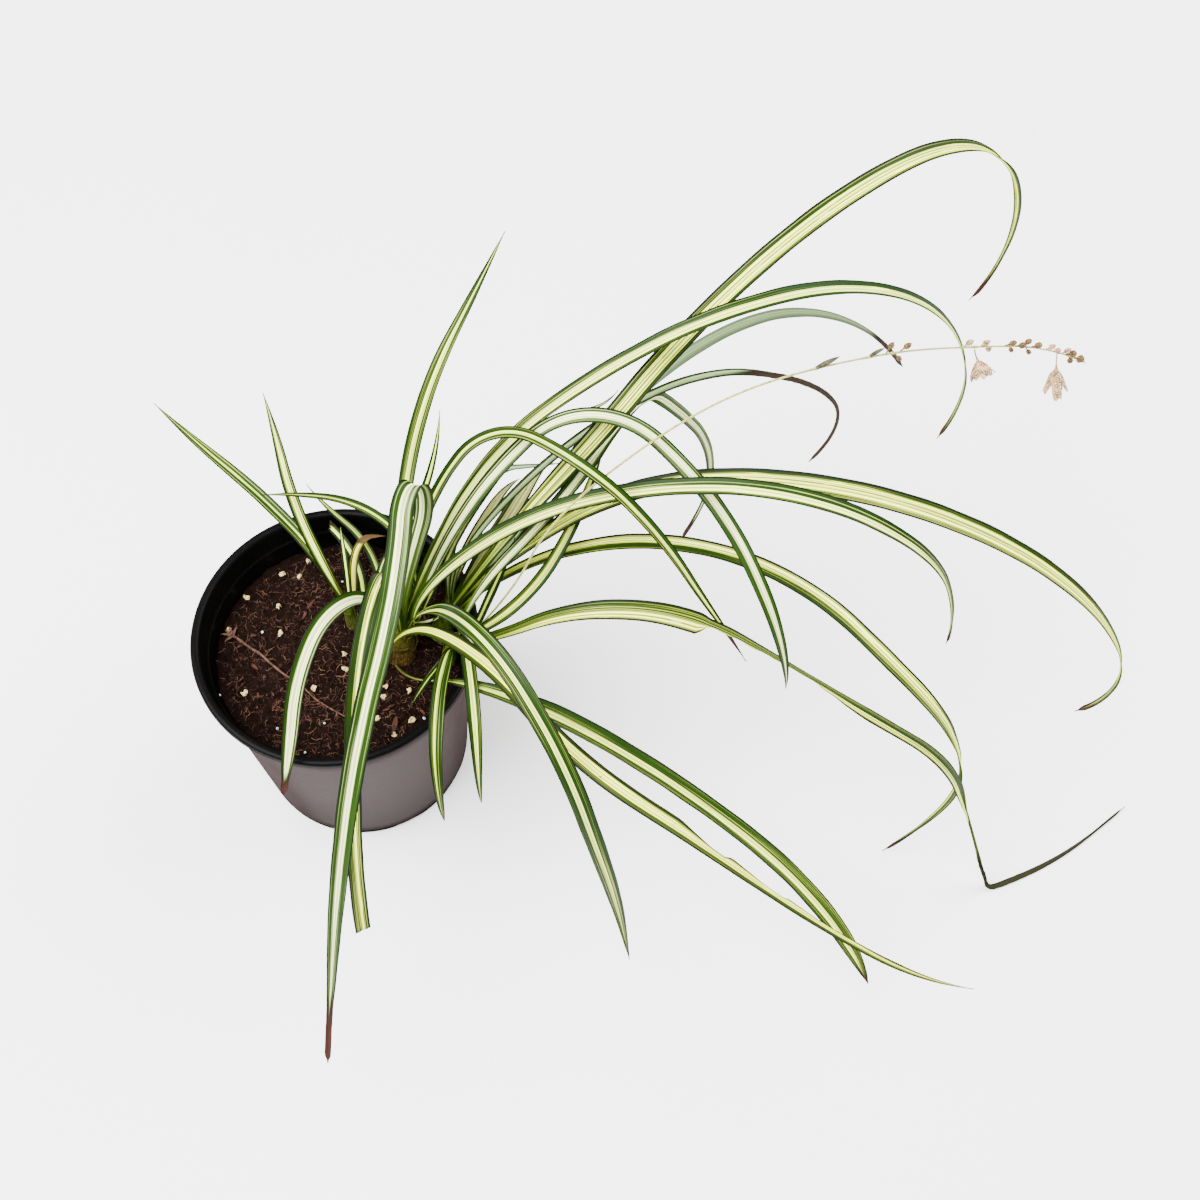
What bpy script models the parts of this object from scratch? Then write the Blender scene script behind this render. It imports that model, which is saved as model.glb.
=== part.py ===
"""A potted spider plant: moulded pot, potting soil, four crowns, their arching leaves and a flower stalk.

All lengths below are in millimetres and are turned into metres where a mesh is made.
The origin is the middle of the pot's base, on the surface that the pot stands on, with +Z up.
A leaf is described as it grows: where it leaves its crown, how long and wide it is, and the
compass heading and the pitch that it has at equal steps along its length.
"""

import math
from collections import namedtuple

import bmesh
import bpy
from mathutils import Matrix, Vector

MM = 0.001
GAP = 0.3
UP = Vector((0.0, 0.0, 1.0))

# Pot: a turned shell with a rolled lip, a stacking ledge inside and a notched foot ring.
POT_HEIGHT = 132.0
RIM_RADIUS = 70.0
BASE_RADIUS = 55.5
WALL = 1.6
FLOOR = 2.4
LIP_DEPTH = 4.5
LIP_WIDTH = 3.2
LIP_ROUND = 0.9
SHOULDER_DROP = 13.0
SHOULDER_STEP = 1.1
FOOT_HEIGHT = 3.0
FOOT_WIDTH = 6.0
FOOT_NOTCHES = 10
FOOT_NOTCH_WIDTH = 16.0
FOOT_NOTCH_SHARE = 0.7
PAD_RADIUS = 24.0
DRAIN_HOLES = 8
DRAIN_RADIUS = 4.0
DRAIN_CIRCLE = 37.0
DRAIN_SIDES = 12
POT_SEGMENTS = 60
POT_LEAN = (RIM_RADIUS - LIP_WIDTH - BASE_RADIUS) / POT_HEIGHT

# Soil: fills the pot to just under the ledge, a little higher round the crowns.
SOIL_LEVEL = 108.5
CROWN_LEVEL = 112.7
SOIL_BUMP = 0.9
MOUND_REACH = 16.0
SOIL_MARGIN = 0.45
SOIL_SEGMENTS = 36
SOIL_RINGS = 8

# Crowns: foot and tip of the axis, radius at the foot and at the tip.
Crown = namedtuple("Crown", "name foot tip foot_radius tip_radius")
MAIN = Crown("crown_main", (30, -2, 113), (33, 4, 128), 7.5, 5.0)
BACK = Crown("crown_back", (50, 9, 113), (55, 14, 134), 5.5, 3.5)
SIDE = Crown("crown_side", (54.5, -5, 113), (58.5, -5, 136), 4.0, 2.6)
OFFSHOOT = Crown("crown_offshoot", (6, 14, 113), (4, 18, 127), 4.5, 2.8)
CROWNS = (MAIN, BACK, SIDE, OFFSHOOT)
CROWN_STATIONS = ((0.0, 1.0), (0.35, 1.0), (0.7, 1.0), (0.92, 0.9), (1.0, 0.55))
CROWN_SEGMENTS = 14

# Growth: a start is this far off the crown's side, or above the crown's top when its rise is over 1.
SIDE_OFFSET = 1.0
TOP_OFFSET = 0.9
SUBSTEPS = 6

# Leaf blades: shares of the full width and of the length.
LEAF_MIDRIB = 1.1
LEAF_MARGIN = 0.5
LEAF_STEP = 14.0
NECK_SHARE = 0.34
NECK_END = 0.3
TAPER_START = 0.5
TAPER_POWER = 2.4
WAIST_LENGTH = 0.08
TIP_WIDTH = 0.9
CHANNEL_DEPTHS = (0.10, 0.17, 0.17, 0.08)

# A leaf's fields are: crown, rise up the crown, compass side, length, width, headings, pitches, and for
# some a twist along the length, a blunt cut end, a waist (share, width left) and folded tails.
Leaf = namedtuple("Leaf", "name crown rise side length width headings pitches twists cut waist tails",
                  defaults=((0,), False, (), ()))
LEAVES = (
    Leaf("leaf_main_back_left", MAIN, rise=0.60, side=45, length=121, width=5.0,
         headings=(65, 105, 150, 185, 190),
         pitches=(55, 40, 20, 20, 10)),
    Leaf("leaf_main_inner_short", MAIN, rise=0.10, side=155, length=60, width=4.0,
         headings=(120, 80, 55),
         pitches=(70, 45, -10)),
    Leaf("leaf_main_upright", MAIN, rise=1.70, side=85, length=218, width=7.5,
         headings=(80, 70, 65, 60, 70),
         pitches=(60, 80, 55, 25, 0)),
    Leaf("leaf_main_upright_small", MAIN, rise=1.40, side=145, length=110, width=4.5,
         headings=(110, 60, 65, 85),
         pitches=(60, 35, 40, 45)),
    Leaf("leaf_main_crossing", MAIN, rise=0.80, side=80, length=308, width=5.5,
         headings=(80, 55, 10, -40, -25, -35, -55),
         pitches=(55, 60, 60, 20, -45, -55, -20)),
    Leaf("leaf_main_high_arch", MAIN, rise=1.35, side=80, length=481, width=8.5,
         headings=(55, 40, 15, 10, 25, 20, 5, 15),
         pitches=(55, 50, 40, 30, -20, -45, -75, -110)),
    Leaf("leaf_main_middle_arch", MAIN, rise=0.90, side=40, length=386, width=8.0,
         headings=(40, 35, 20, -35, -60, -60, -120),
         pitches=(70, 55, 45, -25, -25, -75, -150)),
    Leaf("leaf_main_dry_tip", MAIN, rise=1.00, side=5, length=203, width=4.0,
         headings=(40, 40, 45, 45, 75),
         pitches=(60, 60, 30, -40, -35)),
    Leaf("leaf_main_low_arch", MAIN, rise=0.75, side=-5, length=401, width=9.0,
         headings=(15, 20, 0, -10, -10, 0, 5),
         pitches=(94, 38, 27, 13, -28, -70, -90)),
    Leaf("leaf_main_front_straight", MAIN, rise=0.05, side=-100, length=325, width=10.0,
         headings=(-65, -25, -17, -20, -25, -35, -45, -53),
         pitches=(45, 45, -15, -30, -30, -20, -30, -55)),
    Leaf("leaf_main_front_hanging", MAIN, rise=1.25, side=-70, length=346, width=9.0,
         headings=(-40, -45, -55, -60, -45, -35),
         pitches=(75, 55, -20, -60, -80, -85)),
    Leaf("leaf_main_front_torn", MAIN, rise=0.05, side=-135, length=399, width=8.0,
         headings=(3, -40, -50, -25, -25, -20, 2),
         pitches=(83, 37, -7, -27, -31, -32, -30)),
    Leaf("leaf_main_front_strap", MAIN, rise=1.20, side=30, length=122, width=4.5,
         headings=(-20, -46, -54, -53, -45),
         pitches=(40, 68, 22, -17, -30)),
    Leaf("leaf_main_front_long", MAIN, rise=1.70, side=-145, length=422, width=10.5,
         headings=(-140, -120, -90, -110, -105, -105, -100),
         pitches=(95, 125, 0, -40, -50, -60, -55)),
    Leaf("leaf_main_front_cut", MAIN, rise=1.35, side=-105, length=266, width=7.5,
         headings=(-95, -95, -100, -95, -95, -85),
         pitches=(95, 85, -15, -50, -60, -60),
         cut=True),
    Leaf("leaf_main_front_left", MAIN, rise=0.95, side=155, length=154, width=8.0,
         headings=(-170, -140, -115, -100, -105),
         pitches=(90, 55, -20, -45, -45)),
    Leaf("leaf_back_longest", BACK, rise=1.20, side=-15, length=525, width=10.5,
         headings=(20, 20, 45, 35, 35, 35, 40, 20),
         pitches=(60, 55, 25, 25, 0, -45, -75, -125)),
    Leaf("leaf_back_twisted", BACK, rise=0.80, side=5, length=337, width=6.0,
         headings=(20, 45, 45, 30, 30, 15, 5),
         pitches=(60, 35, 20, 20, -25, -45, -65),
         twists=(0, 60, 130, 150, 150, 150, 150)),
    Leaf("leaf_back_slender", BACK, rise=0.75, side=45, length=324, width=4.0,
         headings=(50, 35, 30, 20, 10, 20, 25),
         pitches=(91, 44, 27, 15, -25, -65, -135)),
    Leaf("leaf_back_short", BACK, rise=1.40, side=85, length=134, width=4.5,
         headings=(85, 65, 45, 40),
         pitches=(80, 20, -45, -40)),
    Leaf("leaf_back_spotted_small", BACK, rise=0.85, side=90, length=80, width=5.5,
         headings=(55, 55, 60, 55),
         pitches=(65, 40, 5, -40),
         twists=(0, 60, 120, 150)),
    Leaf("leaf_back_spotted", BACK, rise=1.00, side=40, length=97, width=8.0,
         headings=(45, 50, 65, 65),
         pitches=(40, 35, -5, -50),
         twists=(0, 90, 160, 170)),
    Leaf("leaf_back_far_arch", BACK, rise=1.00, side=-5, length=469, width=10.0,
         headings=(10, 15, -5, -15, -15, -15, -20),
         pitches=(60, 35, 10, -5, -35, -65, -120)),
    Leaf("leaf_back_curled", BACK, rise=0.60, side=5, length=439, width=8.5,
         headings=(18, 5, -20, -45, -20, 15, 20),
         pitches=(57, 18, 5, -10, -65, -90, -140)),
    Leaf("leaf_side_hooked", SIDE, rise=1.00, side=30, length=372, width=7.0,
         headings=(25, 30, 55, 55, 40, 20, 30),
         pitches=(80, 40, 15, -60, -65, -90, -120)),
    Leaf("leaf_side_kinked", SIDE, rise=0.70, side=-30, length=402, width=10.5,
         headings=(-20, 0, -5, -20, -25, -15, -25, -30, -25),
         pitches=(50, 40, 5, -20, -20, -35, -70, -70, -70),
         twists=(0, 0, 25, 55, 60, 55, 45, 30, 0, 0), waist=(0.30, 0.62),
         tails=((6, (-25, 18), (-70, 0)), (88, (18, 24, 32, 38, 38), (0, 0, 1, 0, 0)))),
    Leaf("leaf_side_hanging", SIDE, rise=0.70, side=-85, length=155, width=7.0,
         headings=(-90, -95, -90, -80, -65),
         pitches=(70, 25, -30, -90, -120)),
    Leaf("leaf_side_hanging_outer", SIDE, rise=0.80, side=-50, length=134, width=6.5,
         headings=(-55, -80, -85, -90, -85),
         pitches=(70, 30, -30, -75, -115)),
    Leaf("leaf_side_short", SIDE, rise=0.40, side=-90, length=60, width=4.0,
         headings=(-90, -100, -115, -120),
         pitches=(70, 55, 25, -20)),
    Leaf("leaf_side_upright_small", SIDE, rise=0.85, side=-5, length=65, width=4.5,
         headings=(10, 45, 55, 70),
         pitches=(50, 60, 45, 25)),
    Leaf("leaf_side_upright", SIDE, rise=1.00, side=-25, length=134, width=6.0,
         headings=(-15, 25, 50, 65, 70),
         pitches=(55, 35, 35, 30, 35)),
    Leaf("leaf_offshoot_left", OFFSHOOT, rise=0.60, side=125, length=140, width=6.5,
         headings=(125, 135, 145, 140),
         pitches=(65, 10, 20, 20)),
    Leaf("leaf_offshoot_back", OFFSHOOT, rise=0.90, side=125, length=111, width=6.0,
         headings=(135, 120, 105, 110),
         pitches=(65, 40, 30, 25)),
    Leaf("leaf_offshoot_thin", OFFSHOOT, rise=0.05, side=10, length=84, width=4.0,
         headings=(40, 110, 145, 135),
         pitches=(40, 15, 20, 30)),
    Leaf("leaf_offshoot_cut", OFFSHOOT, rise=0.05, side=40, length=52, width=4.5,
         headings=(70, 115, 140),
         pitches=(60, 25, 5),
         cut=True),
    Leaf("leaf_offshoot_slim", OFFSHOOT, rise=1.20, side=50, length=39, width=3.0,
         headings=(85, 95, 100, 100),
         pitches=(70, 50, 25, -5)),
    Leaf("leaf_offshoot_dry_tip", OFFSHOOT, rise=0.80, side=40, length=53, width=4.5,
         headings=(85, 90, 80, 50, 25),
         pitches=(75, 40, -5, -40, -40)),
)

# Flower stalk: it grows as a leaf does, and what sits on it is placed at a share of its length.
STALK = Leaf("flower_stalk", SIDE, rise=0.60, side=15, length=460, width=1.5,
             headings=(15, 20, 30, 25, 30, 30, 20),
             pitches=(50, 70, 20, -10, -30, -35, -45))
STALK_RADIUS = 0.8
STALK_TIP_RADIUS = 0.5
STALK_STEPS = 30
STEM_SIDES = 8

# Bracts and buds: share of the stalk's length, lean away from it, length and greatest width or radius.
Bract = namedtuple("Bract", "name share lean length width")
BRACTS = (
    Bract("bract_lower", 0.53, 18, 12.0, 2.6),
    Bract("bract_middle", 0.60, 25, 8.0, 2.0),
)
BRACT_STATIONS = ((0.0, 0.35), (0.3, 0.9), (0.6, 0.75), (1.0, 0.25))
BRACT_THICK = 0.4
Bud = namedtuple("Bud", "name share lean turn length radius")
BUDS = (
    Bud("bud_inner", 0.63, 55, -35, 6.0, 1.1),
    Bud("bud_middle", 0.83, 60, 25, 7.0, 1.3),
    Bud("bud_outer", 0.88, 70, -20, 6.5, 1.2),
    Bud("bud_tip", 0.97, 30, 15, 7.0, 1.2),
)
BUD_STATIONS = ((0.0, 0.3), (0.3, 0.35), (0.45, 0.8), (0.65, 1.0), (0.85, 0.7), (1.0, 0.2))

# Blooms: share of the stalk's length, heading and pitch of the stem, its length, the petals' reach
# and how far their tips lean forward.
Bloom = namedtuple("Bloom", "name share heading pitch length reach lean")
BLOOMS = (
    Bloom("flower_faded", 0.76, -70, -35, 6.0, 9.0, 4.0),
    Bloom("flower_withered", 0.93, -80, -60, 8.0, 6.5, 9.0),
)
PETALS = 6
PETAL_NOTCH = 0.34
PETAL_THICK = 0.5
BLOOM_STEM = 0.4
BLOOM_HEART = 1.1

# Dry runner that lies across the soil.
RUNNER_POINTS = ((-55, 9), (-46, 3), (-38, -3), (-29, -11), (-21, -16), (-10, -26), (-3, -31), (5, -35))
RUNNER_RADIUS = 0.9
RUNNER_TAPER = 0.35


def clear_scene():
    """Empty the file without closing it."""
    for item in list(bpy.data.objects):
        bpy.data.objects.remove(item, do_unlink=True)


def make_material(name, colour, roughness):
    """A Principled material with one plain colour."""
    material = bpy.data.materials.new(name)
    material.use_nodes = True
    shader = material.node_tree.nodes["Principled BSDF"]
    shader.inputs["Base Color"].default_value = (*colour, 1.0)
    shader.inputs["Roughness"].default_value = roughness
    shader.inputs["Metallic"].default_value = 0.0
    return material


def mesh_object(name, points, faces, material=None, sharp_angle=60.0):
    """Make one named object from points in millimetres."""
    mesh = bpy.data.meshes.new(name)
    mesh.from_pydata([tuple(c * MM for c in point) for point in points], [], faces)
    shaper = bmesh.new()
    shaper.from_mesh(mesh)
    bmesh.ops.recalc_face_normals(shaper, faces=shaper.faces)
    shaper.to_mesh(mesh)
    shaper.free()
    mesh.shade_smooth()
    mesh.set_sharp_from_angle(angle=math.radians(sharp_angle))
    if material:
        mesh.materials.append(material)
    item = bpy.data.objects.new(name, mesh)
    bpy.context.collection.objects.link(item)
    return item


def loft_faces(rings, sides):
    """Quads between rings of equal point count, with a cap on each end."""
    faces = [tuple(reversed(range(sides)))]
    for ring in range(rings - 1):
        start = ring * sides
        for side in range(sides):
            after = (side + 1) % sides
            faces.append((start + side, start + after, start + sides + after, start + sides + side))
    last = (rings - 1) * sides
    faces.append(tuple(range(last, last + sides)))
    return faces


def fan_faces(rings, sides):
    """Faces between rings that start and end in a single point."""
    faces = []
    last = 1 + rings * sides
    for side in range(sides):
        after = (side + 1) % sides
        faces.append((0, 1 + after, 1 + side))
        for ring in range(rings - 1):
            low = 1 + ring * sides
            high = low + sides
            faces.append((low + side, low + after, high + after, high + side))
        end = last - sides
        faces.append((end + side, end + after, last))
    return faces


def ring_points(centre, side, other, radii):
    """Points round a centre, one for each radius, in the plane of two unit vectors."""
    points = []
    for index, radius in enumerate(radii):
        angle = math.tau * index / len(radii)
        points.append(centre + side * (radius * math.cos(angle)) + other * (radius * math.sin(angle)))
    return points


def level_ring(radius, height, count):
    """A level ring round the pot's axis."""
    return ring_points(UP * height, Vector((1.0, 0.0, 0.0)), Vector((0.0, 1.0, 0.0)), [radius] * count)


def turned_object(name, profile, segments, material):
    """Turn an (r, z) outline whose two ends lie on the axis."""
    points = [UP * profile[0][1]]
    for radius, height in profile[1:-1]:
        points += level_ring(radius, height, segments)
    points.append(UP * profile[-1][1])
    return mesh_object(name, points, fan_faces(len(profile) - 2, segments), material, 35.0)


def blend(values, share):
    """The value at a share of the way along equally spaced stations."""
    if len(values) == 1:
        return values[0]
    place = min(max(share, 0.0), 1.0) * (len(values) - 1)
    index = min(int(place), len(values) - 2)
    part = place - index
    return values[index] * (1 - part) + values[index + 1] * part


def growth_start(crown, rise, side):
    """Where a leaf or stalk leaves its crown: from its side, or from its top when the rise is over 1."""
    foot = Vector(crown.foot)
    tip = Vector(crown.tip)
    if rise > 1:
        centre = tip + UP * TOP_OFFSET
        reach = crown.tip_radius * (2 - rise)
    else:
        centre = foot.lerp(tip, rise)
        reach = crown.foot_radius + (crown.tip_radius - crown.foot_radius) * rise + SIDE_OFFSET
    angle = math.radians(side)
    return centre + Vector((math.cos(angle), math.sin(angle), 0.0)) * reach


def aim(heading, pitch):
    """The unit vector of a compass heading and a pitch, both in degrees."""
    turn = math.radians(heading)
    tilt = math.radians(pitch)
    return Vector((math.cos(tilt) * math.cos(turn), math.cos(tilt) * math.sin(turn), math.sin(tilt)))


def growth_path(start, length, headings, pitches, steps):
    """Points and frames (along, across, up) of a stem that turns as its headings and pitches say."""
    fine = steps * SUBSTEPS
    place = Vector(start)
    path = []
    for step in range(fine + 1):
        share = step / fine
        along = aim(blend(headings, share), blend(pitches, share))
        heading = math.radians(blend(headings, share))
        across = Vector((math.sin(heading), -math.cos(heading), 0.0))
        if step % SUBSTEPS == 0:
            path.append((place.copy(), along, across, across.cross(along), share))
        place = place + along * (length / fine)
    return path


def leaf_path(leaf):
    """The growth path of a leaf with any folded tails, with shares counted over the whole length."""
    parts = ((leaf.length, leaf.headings, leaf.pitches), *leaf.tails)
    total = sum(part[0] for part in parts)
    place = growth_start(leaf.crown, leaf.rise, leaf.side)
    path = []
    done = 0.0
    for length, headings, pitches in parts:
        steps = max(3, round(length / LEAF_STEP))
        piece = growth_path(place, length, headings, pitches, steps)
        for spot, along, across, up, share in piece[1 if path else 0:]:
            path.append((spot, along, across, up, (done + share * length) / total))
        place = path[-1][0]
        done += length
    return path


def blade_width(leaf, share):
    """Full width of a blade at a share of its length."""
    width = leaf.width
    if share < NECK_END:
        width *= NECK_SHARE + (1 - NECK_SHARE) * math.sin(math.pi / 2 * share / NECK_END)
    if share > TAPER_START and not leaf.cut:
        width *= 1 - ((share - TAPER_START) / (1 - TAPER_START)) ** TAPER_POWER
    if leaf.waist and share > leaf.waist[0]:
        narrowing = min(1.0, (share - leaf.waist[0]) / WAIST_LENGTH)
        width *= 1 - (1 - leaf.waist[1]) * narrowing
    return max(width, TIP_WIDTH)


def blade_section(place, across, up, width, channel):
    """Six points round a blade: a shallow channel with a thick midrib and thin margins."""
    half = width / 2
    rise = channel * width
    rib = min(LEAF_MIDRIB, width / 2) / 2
    edge = LEAF_MARGIN / 2
    outline = ((-half, rise + edge), (-half, rise - edge), (0, -rib),
               (half, rise - edge), (half, rise + edge), (0, rib))
    return [place + across * x + up * y for x, y in outline]


def build_leaf(leaf, material):
    """Loft one leaf along its growth path."""
    points = []
    path = leaf_path(leaf)
    for place, along, across, up, share in path:
        turn = Matrix.Rotation(math.radians(blend(leaf.twists, share)), 3, along)
        channel = blend(CHANNEL_DEPTHS, share)
        points += blade_section(place, turn @ across, turn @ up, blade_width(leaf, share), channel)
    return mesh_object(leaf.name, points, loft_faces(len(path), 6), material)


def wall_radius(height):
    """Outer radius of the pot's plain wall."""
    return BASE_RADIUS + POT_LEAN * height


def pot_outline():
    """The pot's half section from the middle of its underside, up the outside and down the inside."""
    shoulder = POT_HEIGHT - SHOULDER_DROP
    under_lip = POT_HEIGHT - LIP_DEPTH
    top_wall = RIM_RADIUS - LIP_WIDTH
    inner_floor = FOOT_HEIGHT + FLOOR
    foot_inside = BASE_RADIUS - FOOT_WIDTH
    return [
        (0.0, 0.0), (PAD_RADIUS - 1.0, 0.0), (PAD_RADIUS + 1.0, FOOT_HEIGHT),
        (foot_inside, FOOT_HEIGHT), (foot_inside + 1.0, 0.0),
        (BASE_RADIUS - 1.2, 0.0), (BASE_RADIUS, 1.2),
        (wall_radius(shoulder) - SHOULDER_STEP, shoulder), (wall_radius(shoulder), shoulder + 1.2),
        (top_wall, under_lip - 0.6), (top_wall + 0.6, under_lip),
        (RIM_RADIUS - LIP_ROUND, under_lip), (RIM_RADIUS, under_lip + LIP_ROUND),
        (RIM_RADIUS, POT_HEIGHT - 1.4), (RIM_RADIUS - LIP_ROUND, POT_HEIGHT - 0.3),
        (RIM_RADIUS - 2.4, POT_HEIGHT), (RIM_RADIUS - LIP_WIDTH - 0.8, POT_HEIGHT - 0.5),
        (top_wall - WALL, POT_HEIGHT - 2.2), (wall_radius(shoulder) - WALL, shoulder + 1.6),
        (wall_radius(shoulder) - WALL - SHOULDER_STEP, shoulder + 0.4),
        (wall_radius(inner_floor) - WALL, inner_floor), (0.0, inner_floor),
    ]


def build_pot(material):
    """Turn the pot, then cut the drainage holes and the notches of the foot ring."""
    pot = turned_object("pot", pot_outline(), POT_SEGMENTS, material)
    cutters = [drain_cutter(index) for index in range(DRAIN_HOLES)]
    cutters += [notch_cutter(index) for index in range(FOOT_NOTCHES)]
    for cutter in cutters:
        cutter.hide_render = True
        cutter.display_type = "WIRE"
        cut = pot.modifiers.new(cutter.name, "BOOLEAN")
        cut.operation = "DIFFERENCE"
        cut.solver = "EXACT"
        cut.object = cutter
    return pot


def drain_cutter(index):
    """A round cutter for one drainage hole."""
    centre = aim(math.degrees(math.tau * (index + 0.5) / DRAIN_HOLES), 0) * DRAIN_CIRCLE
    points = []
    for height in (FOOT_HEIGHT - 2.0, FOOT_HEIGHT + FLOOR + 2.0):
        points += [centre + spot for spot in level_ring(DRAIN_RADIUS, height, DRAIN_SIDES)]
    return mesh_object("drain_cutter_%d" % index, points, loft_faces(2, DRAIN_SIDES))


def notch_cutter(index):
    """A shallow block that lifts the foot ring's lower edge."""
    out = aim(math.degrees(math.tau * (index + 0.25) / FOOT_NOTCHES), 0)
    across = UP.cross(out)
    inner = out * (BASE_RADIUS - FOOT_WIDTH - 1.0)
    outer = out * (BASE_RADIUS + 4.0)
    points = []
    half_foot = FOOT_NOTCH_WIDTH / 2
    for height, half in ((-1.0, half_foot), (FOOT_HEIGHT * FOOT_NOTCH_SHARE, half_foot - 2.0)):
        reach = across * half
        for spot in (inner - reach, outer - reach, outer + reach, inner + reach):
            points.append(spot + UP * height)
    return mesh_object("notch_cutter_%d" % index, points, loft_faces(2, 4))


def soil_height(x, y):
    """Height of the soil: a soft mound under the crowns, small bumps elsewhere, flat under each crown."""
    mound = 0.0
    pad = 0.0
    for crown in CROWNS:
        reach = math.hypot(x - crown.foot[0], y - crown.foot[1]) - crown.foot_radius
        mound = max(mound, math.exp(-(max(reach, 0.0) / MOUND_REACH) ** 2))
        pad = max(pad, min(1.0, max(0.0, 1.0 - (reach - 1.5) / 4.0)))
    bumps = (math.sin(x * 0.31 + 1.3) * math.cos(y * 0.27) + 0.6 * math.sin(x * 0.17 - y * 0.22 + 0.5)
             + 0.5 * math.sin(x * 0.53 + y * 0.49))
    natural = SOIL_LEVEL + (CROWN_LEVEL - SOIL_LEVEL) * mound + SOIL_BUMP * bumps * (1 - mound)
    return natural * (1 - pad) + CROWN_LEVEL * pad


def soil_radius(height):
    """Radius of the soil, a small gap inside the pot's wall."""
    step = SHOULDER_STEP * height / (POT_HEIGHT - SHOULDER_DROP)
    return wall_radius(height) - WALL - step - SOIL_MARGIN


def build_soil(material):
    """The body of soil: flat below, bumpy on top."""
    foot = FOOT_HEIGHT + FLOOR + GAP
    points = [UP * foot]
    side_levels = (foot, SOIL_LEVEL / 2, SOIL_LEVEL - 4.0)
    for level in side_levels:
        points += level_ring(soil_radius(level), level, SOIL_SEGMENTS)
    for ring in range(SOIL_RINGS):
        reach = soil_radius(SOIL_LEVEL - 1.5) * (1 - ring / SOIL_RINGS)
        for spot in level_ring(reach, 0.0, SOIL_SEGMENTS):
            points.append(Vector((spot.x, spot.y, soil_height(spot.x, spot.y))))
    points.append(UP * soil_height(0.0, 0.0))
    faces = fan_faces(len(side_levels) + SOIL_RINGS, SOIL_SEGMENTS)
    return mesh_object("soil", points, faces, material)


def build_crown(crown, material):
    """A leaning, tapering crown with a flat foot and a rounded tip."""
    points = []
    for rise, swell in CROWN_STATIONS:
        centre = Vector(crown.foot).lerp(Vector(crown.tip), rise)
        radius = (crown.foot_radius + (crown.tip_radius - crown.foot_radius) * rise) * swell
        points += [centre + spot for spot in level_ring(radius, 0.0, CROWN_SEGMENTS)]
    return mesh_object(crown.name, points, loft_faces(len(CROWN_STATIONS), CROWN_SEGMENTS), material, 40.0)


def stalk_path():
    """The flower stalk's growth path."""
    start = growth_start(STALK.crown, STALK.rise, STALK.side)
    return growth_path(start, STALK.length, STALK.headings, STALK.pitches, STALK_STEPS)


def build_stalk(material):
    """The thin round flower stalk, tapering to its tip."""
    points = []
    path = stalk_path()
    for place, along, across, up, share in path:
        radius = STALK_RADIUS + (STALK_TIP_RADIUS - STALK_RADIUS) * share
        points += ring_points(place, across, up, [radius] * STEM_SIDES)
    return mesh_object(STALK.name, points, loft_faces(len(path), STEM_SIDES), material)


def stalk_frame(share):
    """The place and frame on the flower stalk nearest a share of its length."""
    return stalk_path()[round(share * STALK_STEPS)]


def build_bract(bract, material):
    """A small dry scale that stands along the stalk."""
    place, along, across, up, share = stalk_frame(bract.share)
    lean = math.radians(bract.lean)
    axis = along * math.cos(lean) + up * math.sin(lean)
    out = up * math.cos(lean) - along * math.sin(lean)
    foot = place + up * (STALK_RADIUS + GAP + BRACT_THICK)
    points = []
    for part, swell in BRACT_STATIONS:
        centre = foot + axis * (part * bract.length)
        half = across * (bract.width * swell / 2)
        thick = out * (BRACT_THICK / 2)
        points += [centre - half - thick, centre + half - thick]
        points += [centre + half + thick, centre - half + thick]
    return mesh_object(bract.name, points, loft_faces(len(BRACT_STATIONS), 4), material)


def build_bud(bud, material):
    """A closed bud on a short foot, standing out from the stalk."""
    place, along, across, up, share = stalk_frame(bud.share)
    lean = math.radians(bud.lean)
    turn = math.radians(bud.turn)
    out = up * math.cos(turn) + across * math.sin(turn)
    axis = along * math.cos(lean) + out * math.sin(lean)
    side = axis.cross(along).normalized()
    other = axis.cross(side)
    foot = place + out * (STALK_RADIUS + GAP + BLOOM_STEM)
    points = []
    for part, swell in BUD_STATIONS:
        centre = foot + axis * (part * bud.length)
        points += ring_points(centre, side, other, [swell * bud.radius] * STEM_SIDES)
    return mesh_object(bud.name, points, loft_faces(len(BUD_STATIONS), STEM_SIDES), material)


def build_bloom(bloom, material):
    """An open flower on its thin stem: six narrow petals round a small heart."""
    place = stalk_frame(bloom.share)[0]
    axis = aim(bloom.heading, bloom.pitch)
    side = axis.orthogonal().normalized()
    other = axis.cross(side)
    foot = place + axis * (STALK_RADIUS + GAP)
    count = 2 * PETALS
    star = [bloom.reach if index % 2 == 0 else bloom.reach * PETAL_NOTCH for index in range(count)]
    stem = ((0.0, BLOOM_STEM), (0.8, BLOOM_STEM), (1.0, BLOOM_HEART))
    points = []
    for part, radius in stem:
        points += ring_points(foot + axis * (part * bloom.length), side, other, [radius] * count)
    for depth in (0.0, PETAL_THICK):
        ring = ring_points(foot + axis * (bloom.length + depth), side, other, star)
        leans = [bloom.lean * (radius / bloom.reach) ** 2 for radius in star]
        points += [spot + axis * lean for spot, lean in zip(ring, leans)]
    heart = foot + axis * (bloom.length + PETAL_THICK)
    points += ring_points(heart, side, other, [BLOOM_HEART] * count)
    return mesh_object(bloom.name, points, loft_faces(len(stem) + 3, count), material)


def runner_level(x, y):
    """Lowest clear height of the dry runner's axis over the soil near a point."""
    near = [soil_height(x + dx, y + dy) for dx in (-3, 0, 3) for dy in (-3, 0, 3)]
    return max(near) + RUNNER_RADIUS + GAP


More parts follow.
